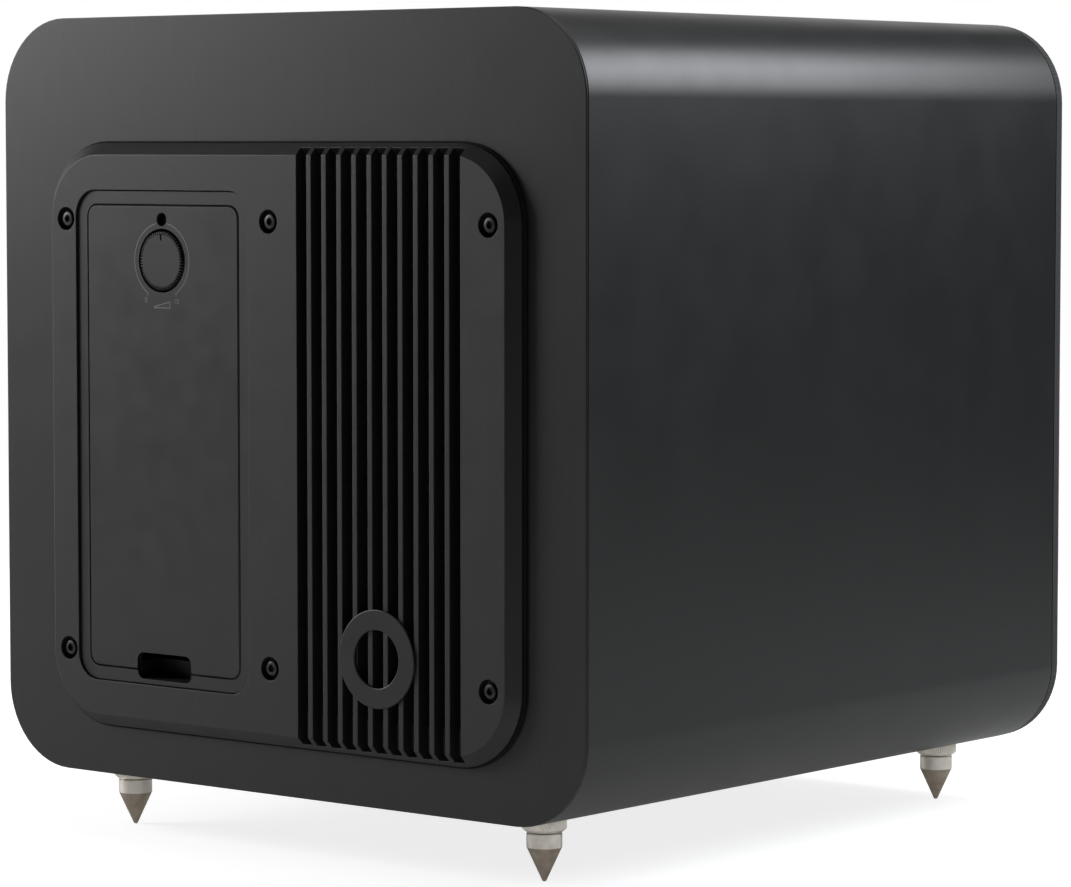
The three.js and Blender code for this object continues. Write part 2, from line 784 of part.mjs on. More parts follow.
function transformer() {
  const [bore, radius, depth, round] = [14, 38, 32, 4];
  const back = boxBack + BOX_WALL + GAP;
  const front = back + depth;
  const ring = turned([
    [bore, back], [radius - round, back], [radius, back + round],
    [radius, front - round], [radius - round, front], [bore, front],
  ], 24);
  ring.translate(GROOVE_X, 0, PLATE_Z - 20);
  return ring;
}

function badge() {
  const edge = 0.3;
  const back = REAR + PLATE_FACE + GAP;
  const front = REAR + PROUD;
  const ring = turned([
    [BADGE_HOLE, back], [BADGE_RADIUS, back], [BADGE_RADIUS, front - edge], [BADGE_RADIUS - edge, front],
    [BADGE_HOLE + edge, front], [BADGE_HOLE, front - edge],
  ], 40);
  ring.translate(GROOVE_X, 0, BADGE_Z);
  return ring;
}

add('amp_plate', ampPlate(), castBlack());
add('amp_gasket', plateGasket(), rubberBlack());
plateScrewPlaces().forEach(({ x, z }, i) => add(`plate_screw_${i + 1}`, plateScrew(x, z), blackSteel()));
add('amp_back_box', backBox(), steel());
add('amp_board', ampBoard(), finish(0x1f4a2c, 0.6));
add('toroidal_transformer', transformer(), finish(0xa88a3c, 0.5));
add('badge_ring', badge(), finish(0x29292a, 0.5));

// ---------------------------------------------------------------- connection tray

const floorFace = REAR + TRAY_FLOOR;
const floorBack = floorFace - 2;
const SHAFT = 3;
const POT_RADIUS = 8.5;
const INLET_WIDTH = 46;
const INLET_HEIGHT = 52;
const SOCKETS_WIDTH = 38;
const SOCKETS_HEIGHT = 14;

function coverSlot(low, high) {
  const middle = (SLOT_LOW + SLOT_HIGH) / 2;
  const shape = roundedShape(SLOT_WIDTH, SLOT_HIGH - SLOT_LOW, SLOT_CORNER, TRAY_X, middle, 5);
  return slab(shape, low, high);
}

function coverSized(grow, corner) {
  return roundedShape(COVER_WIDTH + 2 * grow, COVER_HEIGHT + 2 * grow, corner, TRAY_X, PLATE_Z, 5);
}

function tray() {
  const face = REAR + TRAY_FACE;
  const base = REAR + PLATE_BASE;
  const ledge = REAR + COVER_FACE - COVER - GAP;
  const shaftHole = SHAFT + SLIP;
  const hole = (width, height, x, z) => block(width, 6, height, x, floorBack, z);
  const frame = roundedShape(
    TRAY_WIDTH - 2 * SLIP, TRAY_HEIGHT - 2 * SLIP, TRAY_CORNER - SLIP, TRAY_X, PLATE_Z, 8,
  );
  const cut = [
    slab(coverSized(SLIP, COVER_CORNER + SLIP), ledge, face + 1),
    slab(coverSized(-LEDGE, 3), floorFace, face + 1),
    coverSlot(REAR - SLOT_DEPTH, face + 1),
    bar(shaftHole, floorBack - 1, floorFace + 1, TRAY_X, KNOB_Z, 20),
    bar(shaftHole, floorBack - 1, floorFace + 1, TRAY_X, CROSSOVER_Z, 20),
    bar(LED_HOLE, floorBack - 1, floorFace + 1, TRAY_X, LED_Z - 1, 16),
    hole(SOCKETS_WIDTH + 2 * GAP, SOCKETS_HEIGHT + 2 * GAP, TRAY_X, INPUTS_Z),
    hole(INLET_WIDTH + 2 * GAP, INLET_HEIGHT + 2 * GAP, TRAY_X, MAINS_Z),
    hole(9, 4.4, TRAY_X - SWITCH_SPREAD, SWITCH_Z),
    hole(12, 4.4, TRAY_X + SWITCH_SPREAD, SWITCH_Z),
  ];
  const pocketLow = SLOT_LOW - BOX_WALL;
  const pocketHigh = PLATE_Z - COVER_HEIGHT / 2 + LEDGE;
  const pocketShape = rectangle(SLOT_WIDTH + 4, pocketHigh - pocketLow, TRAY_X, (pocketLow + pocketHigh) / 2);
  const pocket = slab(pocketShape, REAR - SLOT_DEPTH - 2, base + 1);
  const tub = slab(coverSized(1, COVER_CORNER + 2), floorBack, base + 1);
  return carve(slab(frame, base, face), { join: [tub, pocket], cut });
}

function trayCover() {
  const face = REAR + COVER_FACE;
  const edge = 0.5;
  const outer = { width: COVER_WIDTH, height: COVER_HEIGHT, radius: COVER_CORNER };
  const body = stack([
    { ...outer, y: face - COVER },
    { ...outer, y: face - edge },
    inset(outer, edge, face),
  ], TRAY_X, PLATE_Z, 6);
  const cut = [
    bar(KNOB_HOLE, face - 4, face + 1, TRAY_X, KNOB_Z, 40),
    bar(LED_HOLE, face - 4, face + 1, TRAY_X, LED_Z, 20),
    coverSlot(face - 4, face + 1),
  ];
  return carve(body, { cut });
}

// Level knob: a cap that fills the cover's hole, on a long stem that turns the control behind the tray.
function levelKnob() {
  const face = REAR + COVER_FACE + 0.5;
  const rim = KNOB_HOLE - KNOB_GAP;
  const back = face - 9;
  const edge = 0.6;
  const knob = turned([
    [0, floorBack - 3], [SHAFT, floorBack - 3], [SHAFT, back], [rim, back], [rim, face - edge],
    [rim - edge, face], [0, face],
  ], 40);
  knob.translate(TRAY_X, 0, KNOB_Z);
  return carve(knob, { cut: [block(1, 2, 3.4, TRAY_X, face, KNOB_Z + rim - 1.6)] });
}

function crossoverKnob() {
  const face = floorFace + 12;
  const knob = turned([
    [0, floorBack - 3], [SHAFT, floorBack - 3], [SHAFT, floorFace + 1], [8, floorFace + 1], [7, face - 0.8],
    [6.2, face], [0, face],
  ], 24);
  knob.translate(TRAY_X, 0, CROSSOVER_Z);
  return carve(knob, { cut: [block(1, 2, 5, TRAY_X, face, CROSSOVER_Z + 4)] });
}

// Rotary control behind the tray floor, with a round well for the knob's stem.
function rotaryControl(z) {
  const front = floorBack - GAP;
  const body = bar(POT_RADIUS, front - 9, front, TRAY_X, z, 24);
  return carve(body, {
    join: [block(14, 3, 8, TRAY_X, front - 6, z - POT_RADIUS - 2)],
    cut: [bar(SHAFT + SLIP, front - 4, front + 1, TRAY_X, z, 20)],
  });
}

function lightPipe() {
  return bar(LED_HOLE - 0.35, floorBack - 2, REAR + COVER_FACE - COVER - 0.4, TRAY_X, LED_Z - 1, 16);
}

function inputSockets() {
  const join = [];
  const cut = [];
  for (const side of [-1, 1]) {
    const x = TRAY_X + side * 11;
    join.push(bar(4.2, floorFace + 1, floorFace + 11, x, INPUTS_Z, 20));
    cut.push(bar(1.7, floorFace + 2, floorFace + 12, x, INPUTS_Z, 12));
  }
  join.push(block(SOCKETS_WIDTH + 6, 2, SOCKETS_HEIGHT + 5, TRAY_X, floorFace + 1 + GAP, INPUTS_Z));
  return carve(block(SOCKETS_WIDTH, 14, SOCKETS_HEIGHT, TRAY_X, floorFace - 5.5, INPUTS_Z), { join, cut });
}

const SOCKET_CAVITY_Z = MAINS_Z - 10;
const ROCKER_Z = MAINS_Z + 16;
const ROCKER_WIDTH = 19;
const ROCKER_HEIGHT = 12;

// Mains module: a three-pin inlet below and the window for the rocker above.
function mainsInlet() {
  const flange = slab(
    roundedShape(INLET_WIDTH + 6, INLET_HEIGHT + 6, 3, TRAY_X, MAINS_Z, 4),
    floorFace + GAP, floorFace + GAP + 2.4,
  );
  const body = block(INLET_WIDTH, 20, INLET_HEIGHT, TRAY_X, floorFace + 2 - 10, MAINS_Z);
  const [half, tall, bevel] = [12.5, 8.5, 5];
  const [low, high] = [SOCKET_CAVITY_Z - tall, SOCKET_CAVITY_Z + tall];
  const mouth = shapeOf([
    [TRAY_X - half, low], [TRAY_X + half, low], [TRAY_X + half, high - bevel],
    [TRAY_X + half - bevel, high], [TRAY_X - half + bevel, high], [TRAY_X - half, high - bevel],
  ]);
  const cut = [
    slab(mouth, floorFace - 14, floorFace + 4),
    block(ROCKER_WIDTH + 1.6, 16, ROCKER_HEIGHT + 2, TRAY_X, floorFace - 4, ROCKER_Z),
  ];
  return carve(body, { join: [flange], cut });
}

// Two-way rocker cap: a shallow V seen from the side, pressed in at the bottom when off.
function mainsRocker() {
  const half = ROCKER_WIDTH / 2;
  const crest = 2.6;
  const raised = crest + 2.2;
  const profile = shapeOf([
    [-half, raised], [-half, -2], [-3, -6], [3, -6], [half, -2], [half, crest], [0, crest],
  ]);
  const geometry = new THREE.ExtrudeGeometry(profile, { depth: ROCKER_HEIGHT, bevelEnabled: false });
  geometry.translate(TRAY_X, floorFace + 0.6, ROCKER_Z - ROCKER_HEIGHT / 2);
  return closed(geometry);
}

function sliderKnob(x) {
  const button = 3.6;
  const join = [
    block(7, 1.6, 7, x, floorBack - GAP - 0.8, SWITCH_Z),
    block(button, 3, button, x, floorFace - 2, SWITCH_Z),
  ];
  return carve(block(button, 6, button, x, floorFace + 0.5, SWITCH_Z), { join });
}

add('connection_tray', tray(), mouldedBlack());
add('tray_cover', trayCover(), mouldedBlack());
add('level_knob', levelKnob(), mouldedBlack());
add('level_control', rotaryControl(KNOB_Z), finish(0x8a8c8e, 0.4, 0.8));
add('crossover_knob', crossoverKnob(), mouldedBlack());
add('crossover_control', rotaryControl(CROSSOVER_Z), finish(0x8a8c8e, 0.4, 0.8));
add('led_light_pipe', lightPipe(), finish(0x9aa0a6, 0.15));
add('input_sockets', inputSockets(), finish(0x202022, 0.5));
add('phase_switch', sliderKnob(TRAY_X - SWITCH_SPREAD - 2.2), finish(0x121212, 0.5));
add('power_mode_switch', sliderKnob(TRAY_X + SWITCH_SPREAD), finish(0x121212, 0.5));
add('mains_inlet', mainsInlet(), finish(0x1a1a1b, 0.5));
add('mains_rocker', mainsRocker(), finish(0x101010, 0.4));

export default subwoofer;
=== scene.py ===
"""Looks of a powered subwoofer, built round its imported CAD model.

Metres, in the CAD model's own frame: +Z up, -Y is the grille side, +Y the amplifier side.
Seen from behind, +X is on the left. Sizes below are in millimetres times MM.
"""

import math
import bpy
import bmesh
from mathutils import Matrix, Vector


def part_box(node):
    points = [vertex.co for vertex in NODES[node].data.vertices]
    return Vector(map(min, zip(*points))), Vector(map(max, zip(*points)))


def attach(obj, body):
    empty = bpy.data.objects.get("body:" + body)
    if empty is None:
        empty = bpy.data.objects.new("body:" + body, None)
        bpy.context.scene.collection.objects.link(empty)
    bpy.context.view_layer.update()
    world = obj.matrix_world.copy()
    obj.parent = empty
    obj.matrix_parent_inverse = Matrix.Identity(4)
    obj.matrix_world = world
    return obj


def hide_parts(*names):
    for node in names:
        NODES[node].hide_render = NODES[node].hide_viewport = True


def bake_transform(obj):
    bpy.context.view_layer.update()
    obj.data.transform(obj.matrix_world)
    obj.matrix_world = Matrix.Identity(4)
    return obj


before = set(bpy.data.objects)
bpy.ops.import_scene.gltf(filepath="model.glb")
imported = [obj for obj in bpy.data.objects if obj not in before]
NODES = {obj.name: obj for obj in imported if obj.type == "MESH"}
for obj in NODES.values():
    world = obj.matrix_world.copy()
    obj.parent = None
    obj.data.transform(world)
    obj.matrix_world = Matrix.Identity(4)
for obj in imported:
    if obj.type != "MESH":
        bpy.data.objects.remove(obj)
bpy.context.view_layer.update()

MM = 0.001
CABINET = "cabinet"
FULL_TURN = 2 * math.pi

# Edges sharper than SHARP_ANGLE are rounded; faces flatter than FLAT_ANGLE are joined first.
SHARP_ANGLE = math.radians(38)
FLAT_ANGLE = math.radians(0.6)
WELD = 0.002 * MM

wrap_low, wrap_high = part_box("cabinet_wrap")
cover_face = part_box("tray_cover")[1].y


# ---------------------------------------------------------------- node groups and modifiers

def smoothing_group():
    """Geometry nodes that shade a mesh smooth and keep edges sharper than SHARP_ANGLE."""
    group = bpy.data.node_groups.new("smooth_by_angle", "GeometryNodeTree")
    group.interface.new_socket("Geometry", in_out="INPUT", socket_type="NodeSocketGeometry")
    group.interface.new_socket("Geometry", in_out="OUTPUT", socket_type="NodeSocketGeometry")
    nodes, links = group.nodes, group.links
    start = nodes.new("NodeGroupInput")
    end = nodes.new("NodeGroupOutput")
    bare = nodes.new("GeometryNodeRemoveAttribute")
    bare.inputs["Name"].default_value = "custom_normal"
    faces = nodes.new("GeometryNodeSetShadeSmooth")
    faces.domain = "FACE"
    edges = nodes.new("GeometryNodeSetShadeSmooth")
    edges.domain = "EDGE"
    angle = nodes.new("GeometryNodeInputMeshEdgeAngle")
    blunt = nodes.new("FunctionNodeCompare")
    blunt.data_type = "FLOAT"
    blunt.operation = "LESS_THAN"
    blunt.inputs[1].default_value = SHARP_ANGLE
    links.new(start.outputs[0], bare.inputs[0])
    links.new(bare.outputs[0], faces.inputs[0])
    links.new(faces.outputs[0], edges.inputs[0])
    links.new(edges.outputs[0], end.inputs[0])
    links.new(angle.outputs["Unsigned Angle"], blunt.inputs[0])
    links.new(blunt.outputs[0], edges.inputs["Shade Smooth"])
    return group


SMOOTHING = smoothing_group()


def soften(piece, edge, steps=2):
    """Rounds a piece's edges by edge metres and gives it smooth curved faces and flat flat ones."""
    if edge > 0:
        bevel = piece.modifiers.new("edges", "BEVEL")
        bevel.width = edge
        bevel.segments = steps
        bevel.limit_method = "ANGLE"
        bevel.angle_limit = SHARP_ANGLE
    piece.modifiers.new("smooth", "NODES").node_group = SMOOTHING
    piece.modifiers.new("normals", "WEIGHTED_NORMAL").keep_sharp = True


def refine(node, material, edge=0.25 * MM, steps=2):
    """Shows a CAD node with welded, rounded edges and its own material."""
    piece = NODES[node]
    piece.modifiers.new("weld", "WELD").merge_threshold = WELD
    flat = piece.modifiers.new("flat", "DECIMATE")
    flat.decimate_type = "DISSOLVE"
    flat.angle_limit = FLAT_ANGLE
    soften(piece, edge, steps)
    for place in piece.material_slots:
        place.material = material


# ---------------------------------------------------------------- materials

class Paint:
    """A principled material whose nodes are added one feature at a time."""

    def __init__(self, name, roughness, metallic=0.0):
        self.material = bpy.data.materials.new(name)
        self.material.use_nodes = True
        self.nodes = self.material.node_tree.nodes
        self.links = self.material.node_tree.links
        self.shader = self.nodes["Principled BSDF"]
        self.shader.inputs["Roughness"].default_value = roughness
        self.shader.inputs["Metallic"].default_value = metallic
        self.roughness = roughness
        self.height = None
        self.place = self.nodes.new("ShaderNodeTexCoord").outputs["Object"]

    def stretched(self, scale):
        """Object coordinates scaled by three factors, for patterns that run one way."""
        mapping = self.nodes.new("ShaderNodeMapping")
        mapping.inputs["Scale"].default_value = scale
        self.links.new(self.place, mapping.inputs["Vector"])
        return mapping.outputs["Vector"]

    def noise(self, scale, detail=3.0, stretch=None, lumps=0.5):
        texture = self.nodes.new("ShaderNodeTexNoise")
        texture.inputs["Scale"].default_value = scale
        texture.inputs["Detail"].default_value = detail
        texture.inputs["Roughness"].default_value = lumps
        self.links.new(self.stretched(stretch) if stretch else self.place, texture.inputs["Vector"])
        return texture.outputs["Fac"]

    def bands(self, pitch, axis):
        """Parallel ridges pitch metres apart along an axis."""
        texture = self.nodes.new("ShaderNodeTexWave")
        texture.bands_direction = axis
        texture.inputs["Scale"].default_value = FULL_TURN / (20 * pitch)
        self.links.new(self.place, texture.inputs["Vector"])
        return texture.outputs["Fac"]

    def between(self, factor, low, high, start=0.3, end=0.7):
        """A value that runs from low to high as factor runs from start to end."""
        remap = self.nodes.new("ShaderNodeMapRange")
        remap.inputs["From Min"].default_value = start
        remap.inputs["From Max"].default_value = end
        remap.inputs["To Min"].default_value = low
        remap.inputs["To Max"].default_value = high
        self.links.new(factor, remap.inputs["Value"])
        return remap.outputs["Result"]

    def product(self, a, b, operation="MULTIPLY"):
        maths = self.nodes.new("ShaderNodeMath")
        maths.operation = operation
        self.links.new(a, maths.inputs[0])
        self.links.new(b, maths.inputs[1])
        return maths.outputs["Value"]

    def colour(self, factor, dark, light, start=0.3, end=0.7):
        """Base colour that runs from dark to light as factor runs from start to end."""
        mix = self.nodes.new("ShaderNodeMix")
        mix.data_type = "RGBA"
        mix.inputs["A"].default_value = (*dark, 1)
        mix.inputs["B"].default_value = (*light, 1)
        self.links.new(self.between(factor, 0, 1, start, end), mix.inputs["Factor"])
        self.links.new(mix.outputs["Result"], self.shader.inputs["Base Color"])

    def gloss(self, factor, spread):
        """Roughness that varies by spread to either side of the material's own."""
        low, high = self.roughness - spread, self.roughness + spread
        self.links.new(self.between(factor, low, high), self.shader.inputs["Roughness"])

    def relief(self, factor, height):
        """Raised detail height metres tall, added to any relief made before it."""
        bump = self.nodes.new("ShaderNodeBump")
        bump.inputs["Strength"].default_value = 1.0
        bump.inputs["Distance"].default_value = height
        self.links.new(factor, bump.inputs["Height"])
        if self.height is not None:
            self.links.new(self.height, bump.inputs["Normal"])
        self.height = bump.outputs["Normal"]
        self.links.new(self.height, self.shader.inputs["Normal"])


def grey(value, warmth=0.0):
    """A grey, tinted towards red by a positive warmth and towards blue by a negative one."""
    return (value * (1 + warmth), value, value * (1 - warmth))


def moulding(name, dark, light, roughness, grain=0.25 * MM, depth=0.006 * MM):
    """Moulded or coated surface: a fine even grain with slow changes of colour and gloss."""
    paint = Paint(name, roughness)
    paint.colour(paint.noise(28, 4), dark, light)
    paint.gloss(paint.noise(90, 4), 0.04)
    paint.relief(paint.noise(1 / grain, 2), depth)
    return paint.material


def moulded(name, tone, roughness, warmth=0.0, **texture):
    """A moulding in grey or black."""
    return moulding(name, grey(tone * 0.86, warmth), grey(tone * 1.14, warmth), roughness, **texture)


def satin_film(name, tone, roughness, grain, warmth=0.0):
    """Film over board. grain gives the fineness of its grain along each direction."""
    spread = 0.15
    paint = Paint(name, roughness)
    fine = paint.noise(1.0, 3, stretch=grain)
    paint.colour(fine, grey(tone * (1 - spread), warmth), grey(tone * (1 + spread), warmth))
    paint.gloss(paint.noise(45, 4), 0.02)
    paint.relief(fine, 0.003 * MM)
    paint.relief(paint.noise(2600, 2), 0.002 * MM)
    return paint.material


def powder_coat(name, tone, roughness):
    """Cast metal under a fine-textured powder coat."""
    paint = Paint(name, roughness)
    lumps = paint.noise(1500, 3, lumps=0.6)
    paint.colour(lumps, grey(tone * 0.7, 0.03), grey(tone * 1.3, 0.03))
    paint.gloss(paint.noise(70, 3), 0.04)
    paint.relief(lumps, 0.03 * MM)
    return paint.material


LATHE_LINES = 0.12 * MM


def turned_metal(name, dark, light, roughness, axis):
    """Metal off a lathe: fine rings across its axis, with slight stains."""
    paint = Paint(name, roughness, 1.0)
    paint.colour(paint.noise(240, 4), dark, light)
    paint.gloss(paint.noise(500, 4), 0.07)
    paint.relief(paint.bands(LATHE_LINES, axis), 0.002 * MM)
    paint.relief(paint.noise(1800, 3), 0.003 * MM)
    return paint.material


def plain_metal(name, dark, light, roughness):
    paint = Paint(name, roughness, 1.0)
    paint.colour(paint.noise(120, 5), dark, light)
    paint.gloss(paint.noise(260, 5), 0.08)
    paint.relief(paint.noise(900, 3), 0.006 * MM)
    return paint.material


def rubber(name, tone, roughness):
    paint = Paint(name, roughness)
    paint.colour(paint.noise(180, 4), grey(tone * 0.8), grey(tone * 1.25))
    paint.gloss(paint.noise(400, 3), 0.06)
    paint.relief(paint.noise(3200, 2), 0.004 * MM)
    return paint.material


def knitted(name):
    """Stretched acoustic knit: fine rows of loops with dark holes between."""
    paint = Paint(name, 0.92)
    across = paint.bands(0.55 * MM, "X")
    along = paint.bands(0.65 * MM, "Z")
    loops = paint.product(across, along, "ADD")
    paint.colour(loops, grey(0.004), grey(0.024), 0.35, 1.3)
    paint.relief(loops, 0.07 * MM)
    paint.relief(paint.noise(5200, 2), 0.03 * MM)
    paint.shader.inputs["Sheen Weight"].default_value = 0.25
    paint.shader.inputs["Sheen Roughness"].default_value = 0.5
    return paint.material


def felted(name):
    paint = Paint(name, 0.97)
    fibres = paint.noise(1400, 6, lumps=0.7)
    paint.colour(fibres, (0.50, 0.49, 0.46), (0.78, 0.77, 0.73))
    paint.relief(fibres, 0.5 * MM)
    paint.shader.inputs["Sheen Weight"].default_value = 0.3
    return paint.material


def board(name):
    """Sawn fibreboard: pale and dark fibre flecks."""
    paint = Paint(name, 0.85)
    flecks = paint.noise(900, 5, lumps=0.65)
    paint.colour(flecks, (0.13, 0.082, 0.045), (0.27, 0.18, 0.105))
    paint.relief(flecks, 0.05 * MM)
    return paint.material


def dipped_cloth(name):
    """Resin-dipped cotton of the centring disc."""
    paint = Paint(name, 0.8)
    weave = paint.product(paint.bands(0.5 * MM, "X"), paint.bands(0.5 * MM, "Z"), "ADD")
    paint.colour(weave, (0.24, 0.15, 0.05), (0.50, 0.34, 0.14), 0.3, 1.6)
    paint.relief(weave, 0.08 * MM)
    return paint.material


def wound_wire(name, axis):
    paint = Paint(name, 0.35, 0.85)
    turns = paint.bands(0.6 * MM, axis)
    paint.colour(turns, (0.22, 0.075, 0.02), (0.62, 0.30, 0.12), 0.1, 0.9)
    paint.relief(turns, 0.12 * MM)
    return paint.material


def solder_mask(name):
    """Green board with pale tracks."""
    paint = Paint(name, 0.4)
    tracks = paint.bands(3.2 * MM, "Z")
    paint.colour(tracks, (0.010, 0.055, 0.022), (0.022, 0.11, 0.045), 0.8, 0.9)
    paint.gloss(paint.noise(300, 3), 0.08)
    paint.relief(tracks, 0.03 * MM)
    return paint.material


def smoked_lens(name):
    paint = Paint(name, 0.12)
    paint.colour(paint.noise(900, 3), grey(0.015), grey(0.028))
    paint.gloss(paint.noise(700, 3), 0.04)
    paint.relief(paint.noise(700, 2), 0.004 * MM)
    paint.shader.inputs["Coat Weight"].default_value = 0.6
    return paint.material


def ink(name):
    """Pale grey printing ink, slightly uneven."""
    paint = Paint(name, 0.5)
    paint.colour(paint.noise(2600, 3), grey(0.15), grey(0.23))
    paint.gloss(paint.noise(1500, 3), 0.05)
    paint.relief(paint.noise(4000, 2), 0.002 * MM)
    return paint.material


EVEN_GRAIN = (900, 900, 900)
UPRIGHT_GRAIN = (900, 700, 60)

FILM = satin_film("satin_film", 0.011, 0.38, EVEN_GRAIN, warmth=-0.06)
PANEL_FILM = satin_film("panel_film", 0.012, 0.42, UPRIGHT_GRAIN)
CAST = powder_coat("cast_powder_coat", 0.015, 0.46)
TRAY = moulded("tray_moulding", 0.013, 0.46, warmth=-0.03)
COVER = moulded("cover_moulding", 0.015, 0.42, grain=0.35 * MM, depth=0.003 * MM, warmth=-0.03)
KNOB = moulded("knob_moulding", 0.014, 0.42)
BADGE = moulded("badge_satin", 0.013, 0.40)
MOULDED = moulded("moulded_black", 0.016, 0.50)
SOCKET = moulded("socket_black", 0.010, 0.45)
SWITCH = moulded("switch_black", 0.008, 0.38)
FOAM = moulded("foam_seal", 0.0035, 0.95, grain=0.8 * MM, depth=0.08 * MM)
SPIKE_BRIGHT = turned_metal("spike_nickel", (0.86, 0.80, 0.71), (1.0, 0.96, 0.88), 0.38, "Z")
SPIKE_DARK = turned_metal("spike_cone", (0.38, 0.32, 0.25), (0.52, 0.445, 0.37), 0.44, "Z")
NICKEL = plain_metal("bright_nickel", (0.50, 0.48, 0.44), (0.66, 0.64, 0.60), 0.25)
STEEL = plain_metal("plain_steel", (0.28, 0.28, 0.29), (0.42, 0.42, 0.43), 0.42)
BLACK_STEEL = plain_metal("black_oxide", (0.045, 0.045, 0.046), (0.075, 0.075, 0.077), 0.40)
FERRITE = moulded("ferrite", 0.022, 0.62, grain=0.6 * MM, depth=0.05 * MM)
RUBBER = rubber("rubber", 0.010, 0.42)
CONE = moulded("cone_coating", 0.013, 0.52, grain=0.5 * MM, depth=0.02 * MM)
CAP = moulded("cap_coating", 0.011, 0.40)
KNIT = knitted("grille_knit")
FELT = felted("fibre_felt")
BOARD = board("bare_board")
SPIDER = dipped_cloth("spider_cloth")
COPPER = wound_wire("copper_wire", "Y")
WINDING = wound_wire("toroid_winding", "X")
SOLDER_MASK = solder_mask("solder_mask")
LENS = smoked_lens("smoked_lens")
INK = ink("grey_ink")
RED = moulding("red_insulator", (0.30, 0.010, 0.008), (0.42, 0.018, 0.014), 0.4)
WHITE = moulded("white_insulator", 0.6, 0.4)


# ---------------------------------------------------------------- mesh helpers

def new_piece(name, vertices, faces, body, slot, materials, replaces=()):
    """A mesh piece that rides on a body and stands for CAD nodes. Its slot argument is not used."""
    mesh = bpy.data.meshes.new(name)
    mesh.from_pydata([tuple(v) for v in vertices], [], faces)
    for material in materials:
        mesh.materials.append(material)
    shell = bmesh.new()
    shell.from_mesh(mesh)
    bmesh.ops.recalc_face_normals(shell, faces=shell.faces)
    shell.to_mesh(mesh)
    shell.free()
    piece = bpy.data.objects.new(name, mesh)
    bpy.context.scene.collection.objects.link(piece)
    if body:
        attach(piece, body)
    if replaces:
        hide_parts(*replaces)
    return piece


def ring_points(radius, along, centre, axis, count, shape=None):
    """count points round an axis. shape(radius, angle) changes the radius for teeth and sockets."""
    points = []
    for i in range(count):
        angle = FULL_TURN * i / count
        r = shape(radius, angle) if shape else radius
        u, v = r * math.cos(angle), r * math.sin(angle)
        if axis == "Y":
            points.append(Vector((centre[0] + u, along, centre[1] + v)))
        else:
            points.append(Vector((centre[0] + u, centre[1] + v, along)))
    return points


def turned(profile, centre, axis, count=96, shapes=None):
    """Vertices and faces of a turned solid. profile lists (radius, place along the axis).

    A radius of 0 at the ends gives a pole; otherwise the profile closes on itself.
    shapes maps a profile index to a function that reshapes that ring.
    """
    shapes = shapes or {}
    rings = []
    vertices = []
    for i, (radius, along) in enumerate(profile):
        first = len(vertices)
        if radius == 0:
            vertices += ring_points(0, along, centre, axis, 1)
            rings.append([first])
        else:
            vertices += ring_points(radius, along, centre, axis, count, shapes.get(i))
            rings.append(list(range(first, first + count)))
    if len(rings[0]) > 1:
        rings.append(rings[0])
    faces = []
    for one, two in zip(rings, rings[1:]):
        for i in range(count):
            j = (i + 1) % count
            corners = [one[i % len(one)], one[j % len(one)], two[j % len(two)], two[i % len(two)]]
            faces.append([c for k, c in enumerate(corners) if c not in corners[:k]])
    return vertices, faces


def joined(*solids):
    """Several (vertices, faces) pairs as one."""
    vertices, faces = [], []
    for some_vertices, some_faces in solids:
        base = len(vertices)
        vertices += some_vertices
        faces += [[base + i for i in face] for face in some_faces]
    return vertices, faces


def rounded_outline(width, height, radius, centre, steps):
    """Points of a rounded rectangle in X and Z."""
    points = []
    for quarter, (sx, sz) in enumerate([(1, 1), (-1, 1), (-1, -1), (1, -1)]):
        for i in range(steps + 1):
            angle = (quarter + i / steps) * math.pi / 2
            x = centre[0] + sx * (width / 2 - radius) + radius * math.cos(angle)
            z = centre[1] + sz * (height / 2 - radius) + radius * math.sin(angle)
            points.append((x, z))
    return points


def stacked(sections, centre, steps, closed):
    """A shell through rounded rectangles, each (width, height, radius, y).

    Its last section is filled in, and its first one too where it is closed.
    """
    vertices, faces = [], []
    count = 4 * (steps + 1)
    for width, height, radius, y in sections:
        outline = rounded_outline(width, height, radius, centre, steps)
        vertices += [Vector((x, y, z)) for x, z in outline]
    for ring in range(len(sections) - 1):
        for i in range(count):
            a, b = ring * count + i, ring * count + (i + 1) % count
            faces.append([a, b, b + count, a + count])
    if closed:
        faces.append(list(range(count)))
    faces.append(list(range((len(sections) - 1) * count, len(sections) * count)))
    return vertices, faces


def block(low, high):
    """A box between two corners."""
    xs, ys, zs = zip(low, high)
    vertices = [Vector((x, y, z)) for x in xs for y in ys for z in zs]
    faces = [[0, 1, 3, 2], [4, 6, 7, 5], [0, 4, 5, 1], [2, 3, 7, 6], [0, 2, 6, 4], [1, 5, 7, 3]]
    return vertices, faces


def ribbon(points, width, y, height):
    """A flat printed stroke of even width along points in X and Z, raised by height from y."""
    vertices, faces = [], []
    for i, (x, z) in enumerate(points):
        before = points[max(i - 1, 0)]
        after = points[min(i + 1, len(points) - 1)]
        run = Vector((after[0] - before[0], after[1] - before[1])).normalized() * (width / 2)
        for dx, dz in ((-run.y, run.x), (run.y, -run.x)):
            vertices += [Vector((x + dx, y, z + dz)), Vector((x + dx, y + height, z + dz))]
    for i in range(len(points) - 1):
        a = 4 * i
        b = a + 4
        faces += [[a, a + 1, b + 1, b], [a + 1, a + 3, b + 3, b + 1]]
        faces += [[a + 3, a + 2, b + 2, b + 3], [a + 2, a, b, b + 2]]
    end = 4 * (len(points) - 1)
    faces += [[0, 2, 3, 1], [end, end + 1, end + 3, end + 2]]
    return vertices, faces


